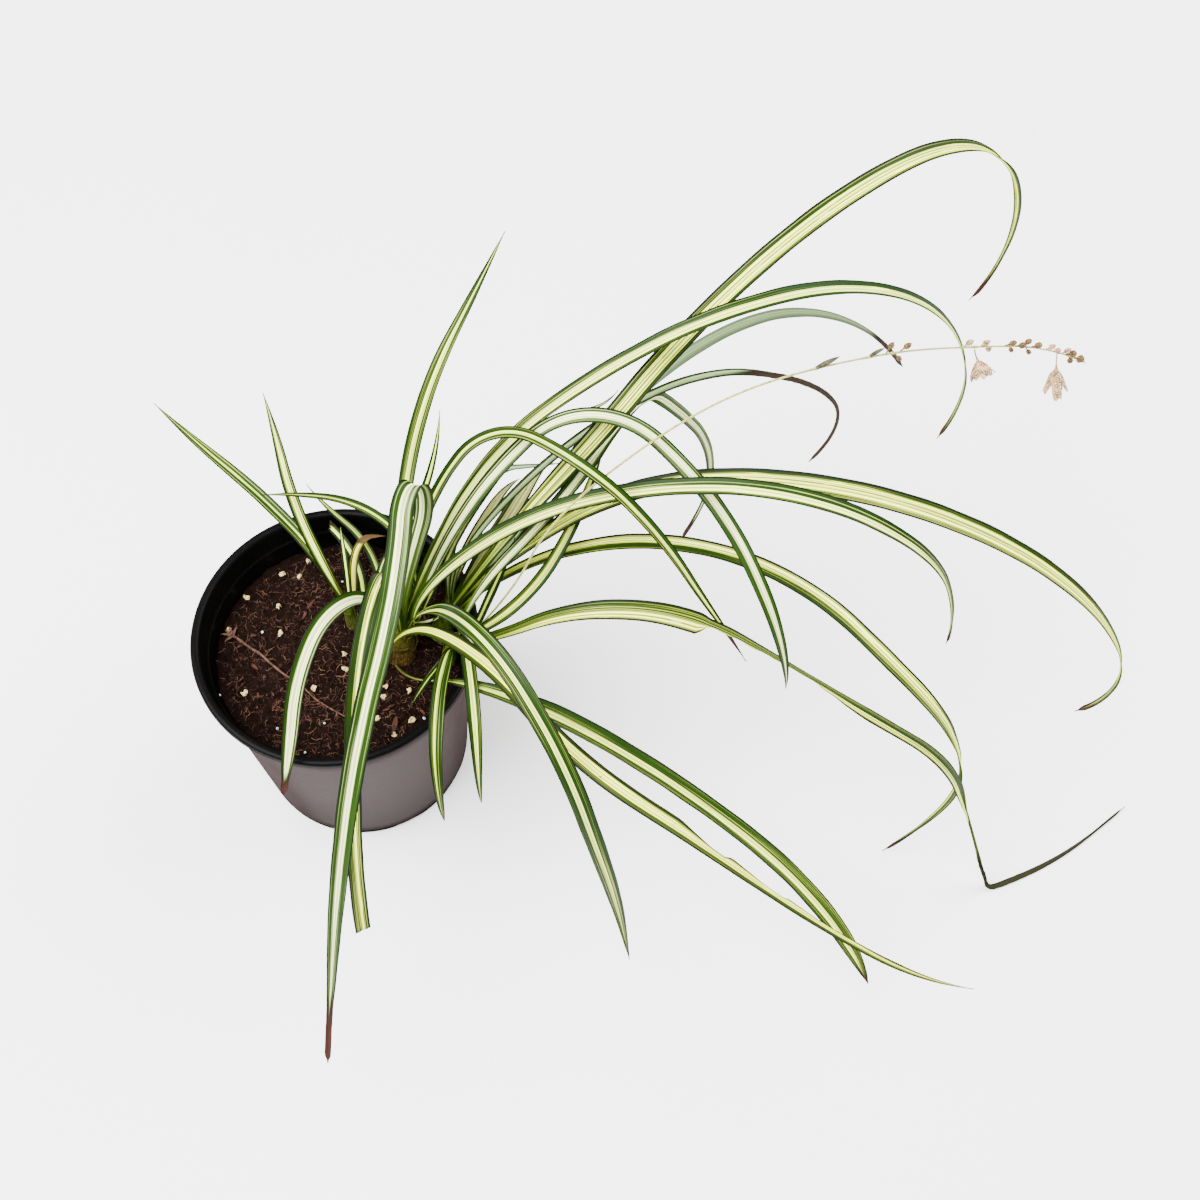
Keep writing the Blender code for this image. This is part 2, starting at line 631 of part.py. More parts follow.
def build_runner(material):
    """The dry runner that lies on the soil."""
    points = []
    count = len(RUNNER_POINTS)
    for index, (x, y) in enumerate(RUNNER_POINTS):
        before = Vector(RUNNER_POINTS[max(index - 1, 0)])
        after = Vector(RUNNER_POINTS[min(index + 1, count - 1)])
        along = (after - before).normalized()
        across = Vector((along.y, -along.x, 0.0))
        centre = Vector((x, y, runner_level(x, y)))
        radius = RUNNER_RADIUS * (1.0 - RUNNER_TAPER * index / (count - 1))
        points += ring_points(centre, across, UP, [radius] * STEM_SIDES)
    return mesh_object("dry_runner", points, loft_faces(count, STEM_SIDES), material)


def main():
    """Build every piece."""
    clear_scene()
    build_pot(make_material("pot_plastic", (0.33, 0.30, 0.30), 0.45))
    build_soil(make_material("soil_peat", (0.035, 0.02, 0.013), 0.95))
    for crown in CROWNS:
        build_crown(crown, make_material(crown.name + "_sheath", (0.30, 0.27, 0.10), 0.6))
    for leaf in LEAVES:
        build_leaf(leaf, make_material(leaf.name + "_blade", (0.16, 0.30, 0.05), 0.42))
    build_stalk(make_material("stalk_straw", (0.70, 0.62, 0.32), 0.6))
    for bract in BRACTS:
        build_bract(bract, make_material(bract.name + "_scale", (0.35, 0.20, 0.10), 0.8))
    for bud in BUDS:
        build_bud(bud, make_material(bud.name + "_husk", (0.45, 0.32, 0.20), 0.7))
    for bloom in BLOOMS:
        build_bloom(bloom, make_material(bloom.name + "_petal", (0.80, 0.68, 0.60), 0.6))
    build_runner(make_material("runner_dry", (0.30, 0.17, 0.10), 0.85))


main()
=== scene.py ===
"""Looks of a potted spider plant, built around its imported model.

Every leaf grows along the same path as its solid in the model: a heading and a pitch at equal
steps from its crown. The soil, its crumbs and fibres, and the fine parts are grown over the
model's own pieces, and each finish is worked out from numbers, with no picture.
Lengths in the tables are millimetres, and meshes are made in metres.
"""

import logging
import math
from dataclasses import dataclass, field
from enum import Enum
from typing import ClassVar, Iterable, Sequence, Union

import bmesh
import bpy
import numpy as np
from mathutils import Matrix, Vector


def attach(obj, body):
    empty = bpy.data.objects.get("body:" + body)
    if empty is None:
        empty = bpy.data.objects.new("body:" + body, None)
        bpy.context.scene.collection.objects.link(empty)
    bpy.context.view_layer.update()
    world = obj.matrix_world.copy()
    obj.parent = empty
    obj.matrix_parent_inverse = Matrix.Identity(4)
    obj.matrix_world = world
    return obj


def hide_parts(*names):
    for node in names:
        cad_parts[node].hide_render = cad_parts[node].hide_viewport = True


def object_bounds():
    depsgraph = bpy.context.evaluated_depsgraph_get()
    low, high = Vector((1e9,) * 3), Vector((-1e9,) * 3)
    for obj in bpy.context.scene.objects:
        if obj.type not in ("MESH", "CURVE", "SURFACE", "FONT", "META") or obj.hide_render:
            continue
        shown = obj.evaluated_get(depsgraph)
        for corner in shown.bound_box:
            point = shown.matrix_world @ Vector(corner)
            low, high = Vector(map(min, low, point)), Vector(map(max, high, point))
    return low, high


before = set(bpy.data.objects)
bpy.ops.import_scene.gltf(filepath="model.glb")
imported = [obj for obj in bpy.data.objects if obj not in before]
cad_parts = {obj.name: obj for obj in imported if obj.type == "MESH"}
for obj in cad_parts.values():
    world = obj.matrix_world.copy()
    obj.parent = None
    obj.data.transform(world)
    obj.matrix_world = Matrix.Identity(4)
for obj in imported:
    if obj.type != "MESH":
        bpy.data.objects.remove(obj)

LOG = logging.getLogger("spider_plant")
MM = 0.001
ROOT = "root"
CAD_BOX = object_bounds()

Socket = bpy.types.NodeSocket
Setting = Union[Socket, float, Sequence[float]]
Amount = Union[float, np.ndarray]
Rgb = tuple[float, float, float]


def srgb(code: str) -> Rgb:
    """Turn a colour code such as "637838" into linear red, green and blue.

    Args:
        code: Six hexadecimal digits.

    Returns:
        The colour in linear light.
    """
    parts = [int(code[start:start + 2], 16) / 255 for start in (0, 2, 4)]
    return tuple(part / 12.92 if part <= 0.04045 else ((part + 0.055) / 1.055) ** 2.4 for part in parts)


# ---------------- Shader wiring ----------------


class Wiring:
    """Adds nodes to one shader or geometry tree and joins them."""

    def __init__(self, tree: bpy.types.NodeTree) -> None:
        """Work on one tree."""
        self.tree = tree

    def node(self, kind: str, **settings: object) -> bpy.types.Node:
        """Add a node and set its properties."""
        made = self.tree.nodes.new(kind)
        for name, value in settings.items():
            setattr(made, name, value)
        return made

    def put(self, socket: Socket, value: Setting) -> None:
        """Feed an input from a socket, or set its own value."""
        if isinstance(value, bpy.types.NodeSocket):
            self.tree.links.new(value, socket)
        elif isinstance(value, (tuple, list)):
            wanted = len(socket.default_value)
            socket.default_value = (*value, 1.0) if len(value) < wanted else value
        else:
            socket.default_value = value

    def feed(self, node: bpy.types.Node, *ordered: Setting, **named: Setting) -> bpy.types.Node:
        """Feed a node's inputs, in their order or by name with _ for a space."""
        for index, value in enumerate(ordered):
            self.put(node.inputs[index], value)
        for name, value in named.items():
            self.put(node.inputs[name.replace("_", " ")], value)
        return node

    def maths(self, operation: str, first: Setting, second: Setting = 0.5, clamp: bool = False) -> Socket:
        """One Math node."""
        made = self.node("ShaderNodeMath", operation=operation, use_clamp=clamp)
        return self.feed(made, first, second).outputs[0]

    def times(self, first: Setting, second: Setting, clamp: bool = False) -> Socket:
        """The product of two numbers."""
        return self.maths("MULTIPLY", first, second, clamp)

    def plus(self, first: Setting, second: Setting) -> Socket:
        """The sum of two numbers."""
        return self.maths("ADD", first, second)

    def minus(self, first: Setting, second: Setting) -> Socket:
        """The first number less the second."""
        return self.maths("SUBTRACT", first, second)

    def unsigned(self, value: Setting) -> Socket:
        """A number without its sign."""
        return self.maths("ABSOLUTE", value)

    def step(self, value: Setting, low: Setting, high: Setting, start: float = 0.0,
             end: float = 1.0) -> Socket:
        """A smooth step of a value from start at low to end at high."""
        made = self.node("ShaderNodeMapRange", interpolation_type="SMOOTHSTEP")
        return self.feed(made, value, low, high, start, end).outputs[0]

    def mix(self, share: Setting, first: Setting, second: Setting) -> Socket:
        """Mix two colours."""
        made = self.node("ShaderNodeMix", data_type="RGBA")
        for index, value in ((0, share), (6, first), (7, second)):
            self.put(made.inputs[index], value)
        return made.outputs[2]

    def vector(self, x: Setting, y: Setting, z: Setting) -> Socket:
        """Join three numbers in a vector."""
        return self.feed(self.node("ShaderNodeCombineXYZ"), x, y, z).outputs[0]

    def scaled(self, vector: Setting, size: Setting) -> Socket:
        """A vector times a number."""
        return self.feed(self.node("ShaderNodeVectorMath", operation="SCALE"), vector, Scale=size).outputs[0]

    def split(self, vector: Setting) -> tuple[Socket, Socket, Socket]:
        """The three parts of a vector."""
        return tuple(self.feed(self.node("ShaderNodeSeparateXYZ"), vector).outputs)

    def noise(self, vector: Setting, scale: float, detail: float = 2.0, roughness: float = 0.5) -> Socket:
        """Soft noise from 0 to 1."""
        made = self.node("ShaderNodeTexNoise")
        return self.feed(made, Vector=vector, Scale=scale, Detail=detail, Roughness=roughness).outputs[0]

    def place(self) -> Socket:
        """Object coordinates in metres."""
        return self.node("ShaderNodeTexCoord").outputs["Object"]

    def attribute(self, name: str) -> bpy.types.Node:
        """A mesh attribute."""
        return self.node("ShaderNodeAttribute", attribute_name=name)

    def group(self, tree: bpy.types.NodeTree, **values: Setting) -> bpy.types.Node:
        """Place a node group and set its inputs by name, with _ for a space."""
        return self.feed(self.node("ShaderNodeGroup", node_tree=tree), **values)


def new_group(name: str, inputs: dict[str, str], outputs: dict[str, str]) -> tuple[Wiring, dict, dict]:
    """Make a shader node group with named sockets.

    Args:
        name: The group's name.
        inputs: Socket name to kind: Float, Vector or Color.
        outputs: The same for the outputs.

    Returns:
        The wiring, the input sockets by name and the output sockets by name.
    """
    tree = bpy.data.node_groups.new(name, "ShaderNodeTree")
    for sockets, side in ((inputs, "INPUT"), (outputs, "OUTPUT")):
        for label, kind in sockets.items():
            tree.interface.new_socket(label, in_out=side, socket_type="NodeSocket" + kind)
    wiring = Wiring(tree)
    entry = wiring.node("NodeGroupInput")
    leave = wiring.node("NodeGroupOutput")
    given = {label: entry.outputs[label] for label in inputs}
    wanted = {label: leave.inputs[label] for label in outputs}
    return wiring, given, wanted


LEAST_EDGE = 0.60  # the dark edge of a blade is never narrower than this, in millimetres


def build_leaf_group() -> bpy.types.NodeTree:
    """The striped pattern of a variegated blade, across and along the leaf.

    Returns:
        A group that puts out Color, Roughness and Height.
    """
    numbers = ("Underside", "Span", "Half Width", "Seed", "Cream Centre", "Cream Half", "Lines", "Edge Width",
               "Tip Start", "Spots", "Haze")
    colours = ("Green", "Cream", "Edge", "Under", "Line", "Base", "Tip", "Tip End")
    inputs = {"Blade": "Vector", **dict.fromkeys(numbers, "Float"), **dict.fromkeys(colours, "Color")}
    outputs = {"Color": "Color", "Roughness": "Float", "Height": "Float"}
    w, given, out = new_group("leaf_variegation", inputs, outputs)
    across, along, share = w.split(given["Blade"])
    half, under = given["Half Width"], given["Underside"]
    shift = w.times(given["Seed"], 7.3)
    wide = w.plus(w.times(across, half), shift)

    def grain(across_scale: float, along_scale: float, detail: float) -> Socket:
        """Noise drawn out along the blade, at its own scale each way."""
        place = w.vector(w.times(wide, across_scale), w.times(along, along_scale), shift)
        return w.noise(place, 1.0, detail)

    streak, thin = grain(0.9, 0.014, 3.0), grain(1.9, 0.005, 2.0)
    fine, blotch = grain(6.0, 0.05, 3.0), grain(0.35, 0.05, 4.0)

    wobble = w.times(w.minus(streak, 0.5), 0.42)
    aside = w.plus(w.unsigned(w.minus(across, given["Cream Centre"])), wobble)
    narrowing = w.step(w.maths("DIVIDE", given["Span"], half), 0.2, 0.9, 0.38, 1.0)
    cream_half = w.times(given["Cream Half"], narrowing)
    cream = w.step(aside, w.minus(cream_half, 0.05), w.plus(cream_half, 0.07), 1.0, 0.0)

    light_green = w.mix(0.5, given["Green"], given["Cream"])
    green = w.mix(w.step(thin, 0.54, 0.64, 0.0, 0.62), given["Green"], light_green)
    green = w.mix(w.step(blotch, 0.35, 0.8, 0.0, 0.35), green, given["Edge"])
    comb = w.maths("FRACT", w.plus(w.times(wide, 0.60), w.times(streak, 0.35)))
    drawn = w.times(w.step(w.unsigned(w.minus(comb, 0.5)), 0.09, 0.20, 1.0, 0.0),
                    w.step(blotch, 0.30, 0.46))
    line = w.times(w.maths("MAXIMUM", drawn, w.step(thin, 0.56, 0.63)), given["Lines"], clamp=True)
    pale = w.mix(w.times(line, 0.85), given["Cream"], given["Line"])
    pale = w.mix(w.step(fine, 0.45, 0.8, 0.0, 0.22), pale, light_green)
    colour = w.mix(cream, green, pale)

    rim = w.plus(w.unsigned(across), w.times(w.minus(fine, 0.5), 0.08))
    least = w.maths("MINIMUM", w.maths("DIVIDE", LEAST_EDGE, given["Span"]), 0.5)
    rim_start = w.minus(0.95, w.maths("MAXIMUM", given["Edge Width"], least))
    edge = w.step(rim, rim_start, w.plus(rim_start, 0.08))
    colour = w.mix(w.times(edge, 0.96), colour, given["Edge"])
    middle = w.step(w.unsigned(across), 0.02, 0.09, 0.45, 0.0)
    colour = w.mix(middle, colour, given["Green"])
    colour = w.mix(w.times(under, given["Haze"]), colour, given["Under"])
    colour = w.mix(w.step(share, 0.0, 0.16, 0.75, 0.0), colour, given["Base"])

    speck = grain(0.9, 0.30, 1.0)
    spot = w.times(w.step(speck, 0.70, 0.76), given["Spots"])
    colour = w.mix(spot, colour, given["Tip"])
    creep = w.plus(share, w.times(w.minus(streak, 0.5), 0.10))
    start = given["Tip Start"]
    dry = w.step(creep, w.minus(start, 0.012), w.plus(start, 0.03))
    dead = w.mix(w.step(share, start, w.plus(start, 0.06)), given["Tip End"], given["Tip"])
    dead = w.mix(w.step(fine, 0.3, 0.8, 0.0, 0.35), dead, given["Tip End"])
    colour = w.mix(dry, colour, dead)

    w.put(out["Color"], colour)
    gloss = w.plus(w.step(fine, 0.3, 0.8, 0.36, 0.48), w.times(dry, 0.30))
    w.put(out["Roughness"], w.plus(gloss, w.times(under, 0.08)))
    rib, crinkle = grain(2.6, 0.012, 1.0), grain(1.0, 0.7, 3.0)
    relief = w.plus(rib, w.times(fine, 0.25))
    w.put(out["Height"], w.plus(relief, w.times(w.times(crinkle, dry), 2.0)))
    return w.tree


def build_fibre_group() -> bpy.types.NodeTree:
    """Fibrous, crumbly colour variation for soil, bark, dry stems and scales.

    Returns:
        A group that puts out Color, Mask and Height.
    """
    inputs = {"Place": "Vector", "Scale": "Float", "Stretch": "Vector", "Dark": "Color", "Mid": "Color",
              "Light": "Color", "Light Share": "Float"}
    w, given, out = new_group("fibre_grain", inputs, {"Color": "Color", "Mask": "Float", "Height": "Float"})
    stretched = w.node("ShaderNodeVectorMath", operation="MULTIPLY")
    place = w.feed(stretched, w.scaled(given["Place"], given["Scale"]), given["Stretch"]).outputs[0]
    coarse = w.noise(place, 1.0, 4.0, 0.6)
    small = w.noise(place, 6.0, 4.0, 0.65)
    light_share = given["Light Share"]
    lit = w.step(small, w.minus(1.0, light_share), w.minus(1.08, light_share))
    colour = w.mix(w.step(coarse, 0.35, 0.68), given["Dark"], given["Mid"])
    colour = w.mix(lit, colour, given["Light"])
    w.put(out["Color"], colour)
    w.put(out["Mask"], lit)
    w.put(out["Height"], w.plus(coarse, w.times(small, 0.5)))
    return w.tree


def build_wear_group() -> bpy.types.NodeTree:
    """Faint mottling, dust and fine scratches for moulded plastic.

    Returns:
        A group that puts out Color, Roughness and Height.
    """
    inputs = {"Place": "Vector", "Base": "Color", "Dust": "Color", "Dust Amount": "Float",
              "Roughness": "Float", "Mottle": "Float"}
    outputs = {"Color": "Color", "Roughness": "Float", "Height": "Float"}
    w, given, out = new_group("plastic_wear", inputs, outputs)
    cloud = w.noise(given["Place"], 38.0, 4.0, 0.55)
    speck = w.noise(given["Place"], 900.0, 2.0, 0.6)
    x, y, z = w.split(given["Place"])
    drawn = w.vector(w.times(x, 60.0), w.times(y, 60.0), w.times(z, 900.0))
    scratch = w.step(w.noise(drawn, 1.0, 3.0, 0.7), 0.62, 0.70)
    dusty = w.times(w.step(cloud, 0.42, 0.72), given["Dust Amount"])
    lighter = w.mix(w.times(w.step(speck, 0.4, 0.7), given["Mottle"]), given["Base"], given["Dust"])
    lighter = w.mix(w.times(scratch, w.times(given["Mottle"], 0.5)), lighter, given["Dust"])
    w.put(out["Color"], w.mix(dusty, lighter, given["Dust"]))
    rough = w.plus(given["Roughness"], w.times(dusty, 0.30))
    w.put(out["Roughness"], w.plus(rough, w.times(w.minus(cloud, 0.5), 0.14)))
    w.put(out["Height"], w.plus(w.times(speck, 0.4), w.times(scratch, -0.3)))
    return w.tree


GROUPS: dict[str, bpy.types.NodeTree] = {}


def shared_group(name: str) -> bpy.types.NodeTree:
    """A shader group by name, built the first time that it is asked for."""
    makers = {"leaf": build_leaf_group, "fibre": build_fibre_group, "wear": build_wear_group}
    if name not in GROUPS:
        GROUPS[name] = makers[name]()
    return GROUPS[name]


def new_material(name: str) -> tuple[bpy.types.Material, Wiring, bpy.types.Node]:
    """A node material with its wiring and its Principled shader."""
    material = bpy.data.materials.new(name)
    material.use_nodes = True
    return material, Wiring(material.node_tree), material.node_tree.nodes["Principled BSDF"]


def add_bump(w: Wiring, shader: bpy.types.Node, height: Socket, strength: float, distance: float) -> None:
    """Feed a height to the shader's normal.

    Args:
        w: The material's wiring.
        shader: Its Principled shader.
        height: The height, about 0 to 1.
        strength: Strength of the bump.
        distance: What a height of 1 stands for, in metres.
    """
    bump = w.feed(w.node("ShaderNodeBump"), Strength=strength, Distance=distance, Height=height)
    w.put(shader.inputs["Normal"], bump.outputs["Normal"])


def fade_gloss(w: Wiring, shader: bpy.types.Node, level: float, start: float, end: float) -> None:
    """Let a shader's gloss fade out where the surface turns away.

    Args:
        w: The material's wiring.
        shader: Its Principled shader.
        level: The specular level seen head on.
        start: The facing value at which it starts to fade.
        end: The facing value at which it is gone.
    """
    socket = shader.inputs["Specular IOR Level"]
    socket.default_value = level
    facing = w.node("ShaderNodeLayerWeight").outputs["Facing"]
    w.put(socket, w.step(facing, start, end, level, 0.0))


# ---------------- Finishes ----------------


@dataclass(frozen=True)
class LeafFinish:
    """One kind of leaf: green bands with a dark edge, a lined cream band and a dry tip."""

    green: str = "173002"
    cream: str = "eefb70"
    edge: str = "081003"
    under: str = "394a21"
    line: str = "2b390b"
    base: str = "334604"
    tip: str = "392119"
    tip_end: str = "150b0a"
    lines: float = 0.7
    edge_width: float = 0.15
    haze: float = 0.18
    COLOURS: ClassVar[tuple[str, ...]] = ("green", "cream", "edge", "under", "line", "base", "tip", "tip_end")

    def dress(self, leaf: "Leaf", seed: float) -> bpy.types.Material:
        """Make the material of one leaf.

        Args:
            leaf: The leaf, with its own stripe, tip and spots.
            seed: A number that moves the pattern.

        Returns:
            The material.
        """
        material, w, shader = new_material(leaf.name + "_blade")
        made = w.group(
            shared_group("leaf"), Blade=w.attribute("blade").outputs["Vector"],
            Underside=w.attribute("underside").outputs["Fac"], Span=w.attribute("span").outputs["Fac"],
            Half_Width=leaf.width / 2, Seed=seed, Cream_Centre=leaf.cream[0], Cream_Half=leaf.cream[1],
            Lines=self.lines, Edge_Width=self.edge_width, Tip_Start=leaf.dry, Spots=leaf.spots,
            Haze=self.haze, **{part.title(): srgb(getattr(self, part)) for part in self.COLOURS})
        w.feed(shader, Base_Color=made.outputs["Color"], Roughness=made.outputs["Roughness"],
               Subsurface_Weight=0.06, Subsurface_Radius=(0.6, 1.0, 0.3), Subsurface_Scale=0.0003)
        fade_gloss(w, shader, 0.06, 0.4, 0.8)
        add_bump(w, shader, made.outputs["Height"], 0.5, 0.00022)
        return material


class Tone(Enum):
    """The kinds of leaf, each with its own finish."""

    FRESH = LeafFinish()
    DARK = LeafFinish(green="112b02", edge="081403", base="1b3102", cream="e0f05c")
    CREAMY = LeafFinish(green="1a3302", cream="f3fbb2", edge="0b1404", base="445a06")
    LINED = LeafFinish(green="142903", cream="eefb60", edge="060c04", line="202609",
                       lines=1.4, edge_width=0.19, base="203903")
    PALE = LeafFinish(green="2f3e23", cream="9ab277", edge="101709", under="4a5a40",
                      line="374328", haze=0.7, tip="352a21", tip_end="16100d")
    DRYING = LeafFinish(green="27310a", cream="f5ee48", edge="171a0a", tip="584429",
                        tip_end="271a11")
    SPOTTED = LeafFinish(green="20310c", cream="a5a462", edge="0b1204", under="788352",
                         line="4e512b", base="334604", haze=0.35, edge_width=0.16,
                         tip="271910")
    BANDED = LeafFinish(green="112903", edge="081103", base="253f02", cream="eefb7c")
    KINKED = LeafFinish(green="142903", cream="eefb60", edge="060c04", line="202609",
                        lines=1.4, edge_width=0.19, base="203903", tip="232313", tip_end="0a0d05")
    TORN = LeafFinish(green="253706", cream="f4fa58", edge="0d1405", line="3b3b15",
                      edge_width=0.27, tip="2d1e16")
    STALKED = LeafFinish(green="193008", cream="ecfb68", edge="0a1305", line="232c09",
                         edge_width=0.15, base="312615")


@dataclass(frozen=True)
class GrainFinish:
    """A fibrous or crumbly finish: dark hollows, a main colour and light raised flecks.

    With a layout, the pattern follows that mesh attribute and turns to the tint at its upper end.
    """

    name: str
    dark: str
    mid: str
    light: str
    scale: float = 300.0
    stretch: tuple[float, float, float] = (1.0, 1.0, 1.0)
    light_share: float = 0.38
    roughness: float = 0.9
    bump: float = 0.0006
    strength: float = 0.7
    subsurface: float = 0.0
    specular: float = 0.15
    layout: str = ""
    tint: str = "000000"

    def dress(self) -> bpy.types.Material:
        """Make the material.

        Returns:
            A material of stretched grain in the three colours.
        """
        material, w, shader = new_material(self.name)
        place = w.attribute(self.layout).outputs["Vector"] if self.layout else w.place()
        made = w.group(shared_group("fibre"), Place=place, Scale=self.scale, Stretch=self.stretch,
                       Dark=srgb(self.dark), Mid=srgb(self.mid), Light=srgb(self.light),
                       Light_Share=self.light_share)
        colour = made.outputs["Color"]
        if self.layout:
            colour = w.mix(w.step(w.split(place)[1], 3.0, 16.0, 0.0, 0.7), colour, srgb(self.tint))
        rough = w.step(made.outputs["Mask"], 0.0, 1.0, self.roughness, self.roughness - 0.12)
        w.feed(shader, Base_Color=colour, Roughness=rough, Specular_IOR_Level=self.specular,
               Subsurface_Weight=self.subsurface, Subsurface_Scale=0.001)
        add_bump(w, shader, made.outputs["Height"], self.strength, self.bump)
        return material


@dataclass(frozen=True)
class PlasticFinish:
    """One colour of moulded plastic, with its dust and mottling."""

    base: str
    dust: str
    dust_amount: float
    roughness: float
    mottle: float

    def lay(self, w: Wiring) -> bpy.types.Node:
        """Place its wear group in a material."""
        return w.group(shared_group("wear"), Place=w.place(), Base=srgb(self.base), Dust=srgb(self.dust),
                       Dust_Amount=self.dust_amount, Roughness=self.roughness, Mottle=self.mottle)


@dataclass(frozen=True)
class PotFinish:
    """Black lining and lip, and a satin taupe outer wall, with dust, splashes of soil, painted shade that
    darkens the wall towards the bottom and a painted shadow band just above the foot.
    """

    black: PlasticFinish = PlasticFinish("040404", "131110", 0.06, 0.34, 0.04)
    taupe: PlasticFinish = PlasticFinish("383030", "4f4545", 0.22, 0.42, 0.10)
    # Colour of the painted shade that darkens the outer wall towards the bottom.
    painted_shade: str = "1a1615"
    # Colour of a painted shadow band on the outer wall just above the foot.
    foot: str = "070606"
    splash: str = "23150f"

    def dress(self) -> bpy.types.Material:
        """Make the material.

        Returns:
            A material that reads the faces' own outer_wall value.
        """
        material, w, shader = new_material("nursery_pot_plastic")
        black, taupe = self.black.lay(w), self.taupe.lay(w)
        outer = w.attribute("outer_wall").outputs["Fac"]
        height = w.split(w.place())[2]
        # Painted shade: the outer wall darkens towards the bottom, fading out 8 cm up.
        wall = w.mix(w.step(height, 0.0, 0.08, 0.38, 0.0), taupe.outputs["Color"], srgb(self.painted_shade))
        # Painted shadow: a near-black band on the outer wall, up to about 6 mm above the floor.
        wall = w.mix(w.step(height, 0.0035, 0.0060, 0.94, 0.0), wall, srgb(self.foot))
        colour = w.mix(outer, black.outputs["Color"], wall)
        speck = w.noise(w.place(), 1400.0, 2.0, 0.6)
        near_soil = w.times(w.step(height, 0.108, 0.124, 1.0, 0.25), w.step(height, 0.100, 0.104))
        inside = w.times(near_soil, w.minus(1.0, outer))
        crumbs = w.times(w.step(speck, 0.60, 0.66), inside)
        colour = w.mix(w.times(crumbs, 0.8), colour, srgb(self.splash))
        rough = w.node("ShaderNodeMix", data_type="FLOAT")
        for index, value in ((0, outer), (2, black.outputs["Roughness"]), (3, taupe.outputs["Roughness"])):
            w.put(rough.inputs[index], value)
        w.feed(shader, Base_Color=colour, Roughness=w.plus(rough.outputs[0], w.times(crumbs, 0.4)))
        fade_gloss(w, shader, 0.03, 0.45, 0.85)
        add_bump(w, shader, w.plus(black.outputs["Height"], crumbs), 0.3, 0.00015)
        return material


# ---------------- Mesh helpers ----------------

TUBE_GUIDE = np.array([0.31, 0.17, 0.93])  # a direction that no tube follows
RIDGES = 6
ALL_SMOOTH = 180.0


def stations(values: Sequence[float], shares: np.ndarray) -> np.ndarray:
    """Values given at equal steps, read at any shares of the way."""
    if len(values) == 1:
        return np.full_like(shares, values[0])
    return np.interp(shares, np.linspace(0.0, 1.0, len(values)), values)


def ease(values: Amount, low: float, high: float) -> Amount:
    """A smooth step from 0 at low to 1 at high."""
    part = np.clip((values - low) / (high - low), 0.0, 1.0)
    return part * part * (3.0 - 2.0 * part)


def unit(vectors: np.ndarray) -> np.ndarray:
    """Vectors of length 1."""
    return vectors / np.maximum(np.linalg.norm(vectors, axis=-1, keepdims=True), 1e-9)


def spread(centre: np.ndarray, across: np.ndarray, wide: np.ndarray, arc: np.ndarray) -> np.ndarray:
    """Rows of points across a line.

    Args:
        centre: Points along the line.
        across: The direction of the rows.
        wide: Half width at each point.
        arc: Where the points of a row are, from -1 to 1.

    Returns:
        The rows, by points across, by 3.
    """
    return centre[:, None, :] + across * (wide[:, None] * arc[None, :])[:, :, None]


def turned_faces(rings: int, sides: int) -> list[tuple[int, ...]]:
    """Faces of a stack of rings that closes in a point at each end.

    Args:
        rings: How many rings there are.
        sides: How many points each ring has.

    Returns:
        The faces. Point 0 is the first end, and the last end comes after the rings.
    """
    faces: list[tuple[int, ...]] = []
    last = 1 + (rings - 1) * sides
    for side in range(sides):
        after = (side + 1) % sides
        faces.append((0, 1 + after, 1 + side))
        for low in range(1, last, sides):
            faces.append((low + side, low + after, low + sides + after, low + sides + side))
        faces.append((last + side, last + after, last + sides))
    return faces


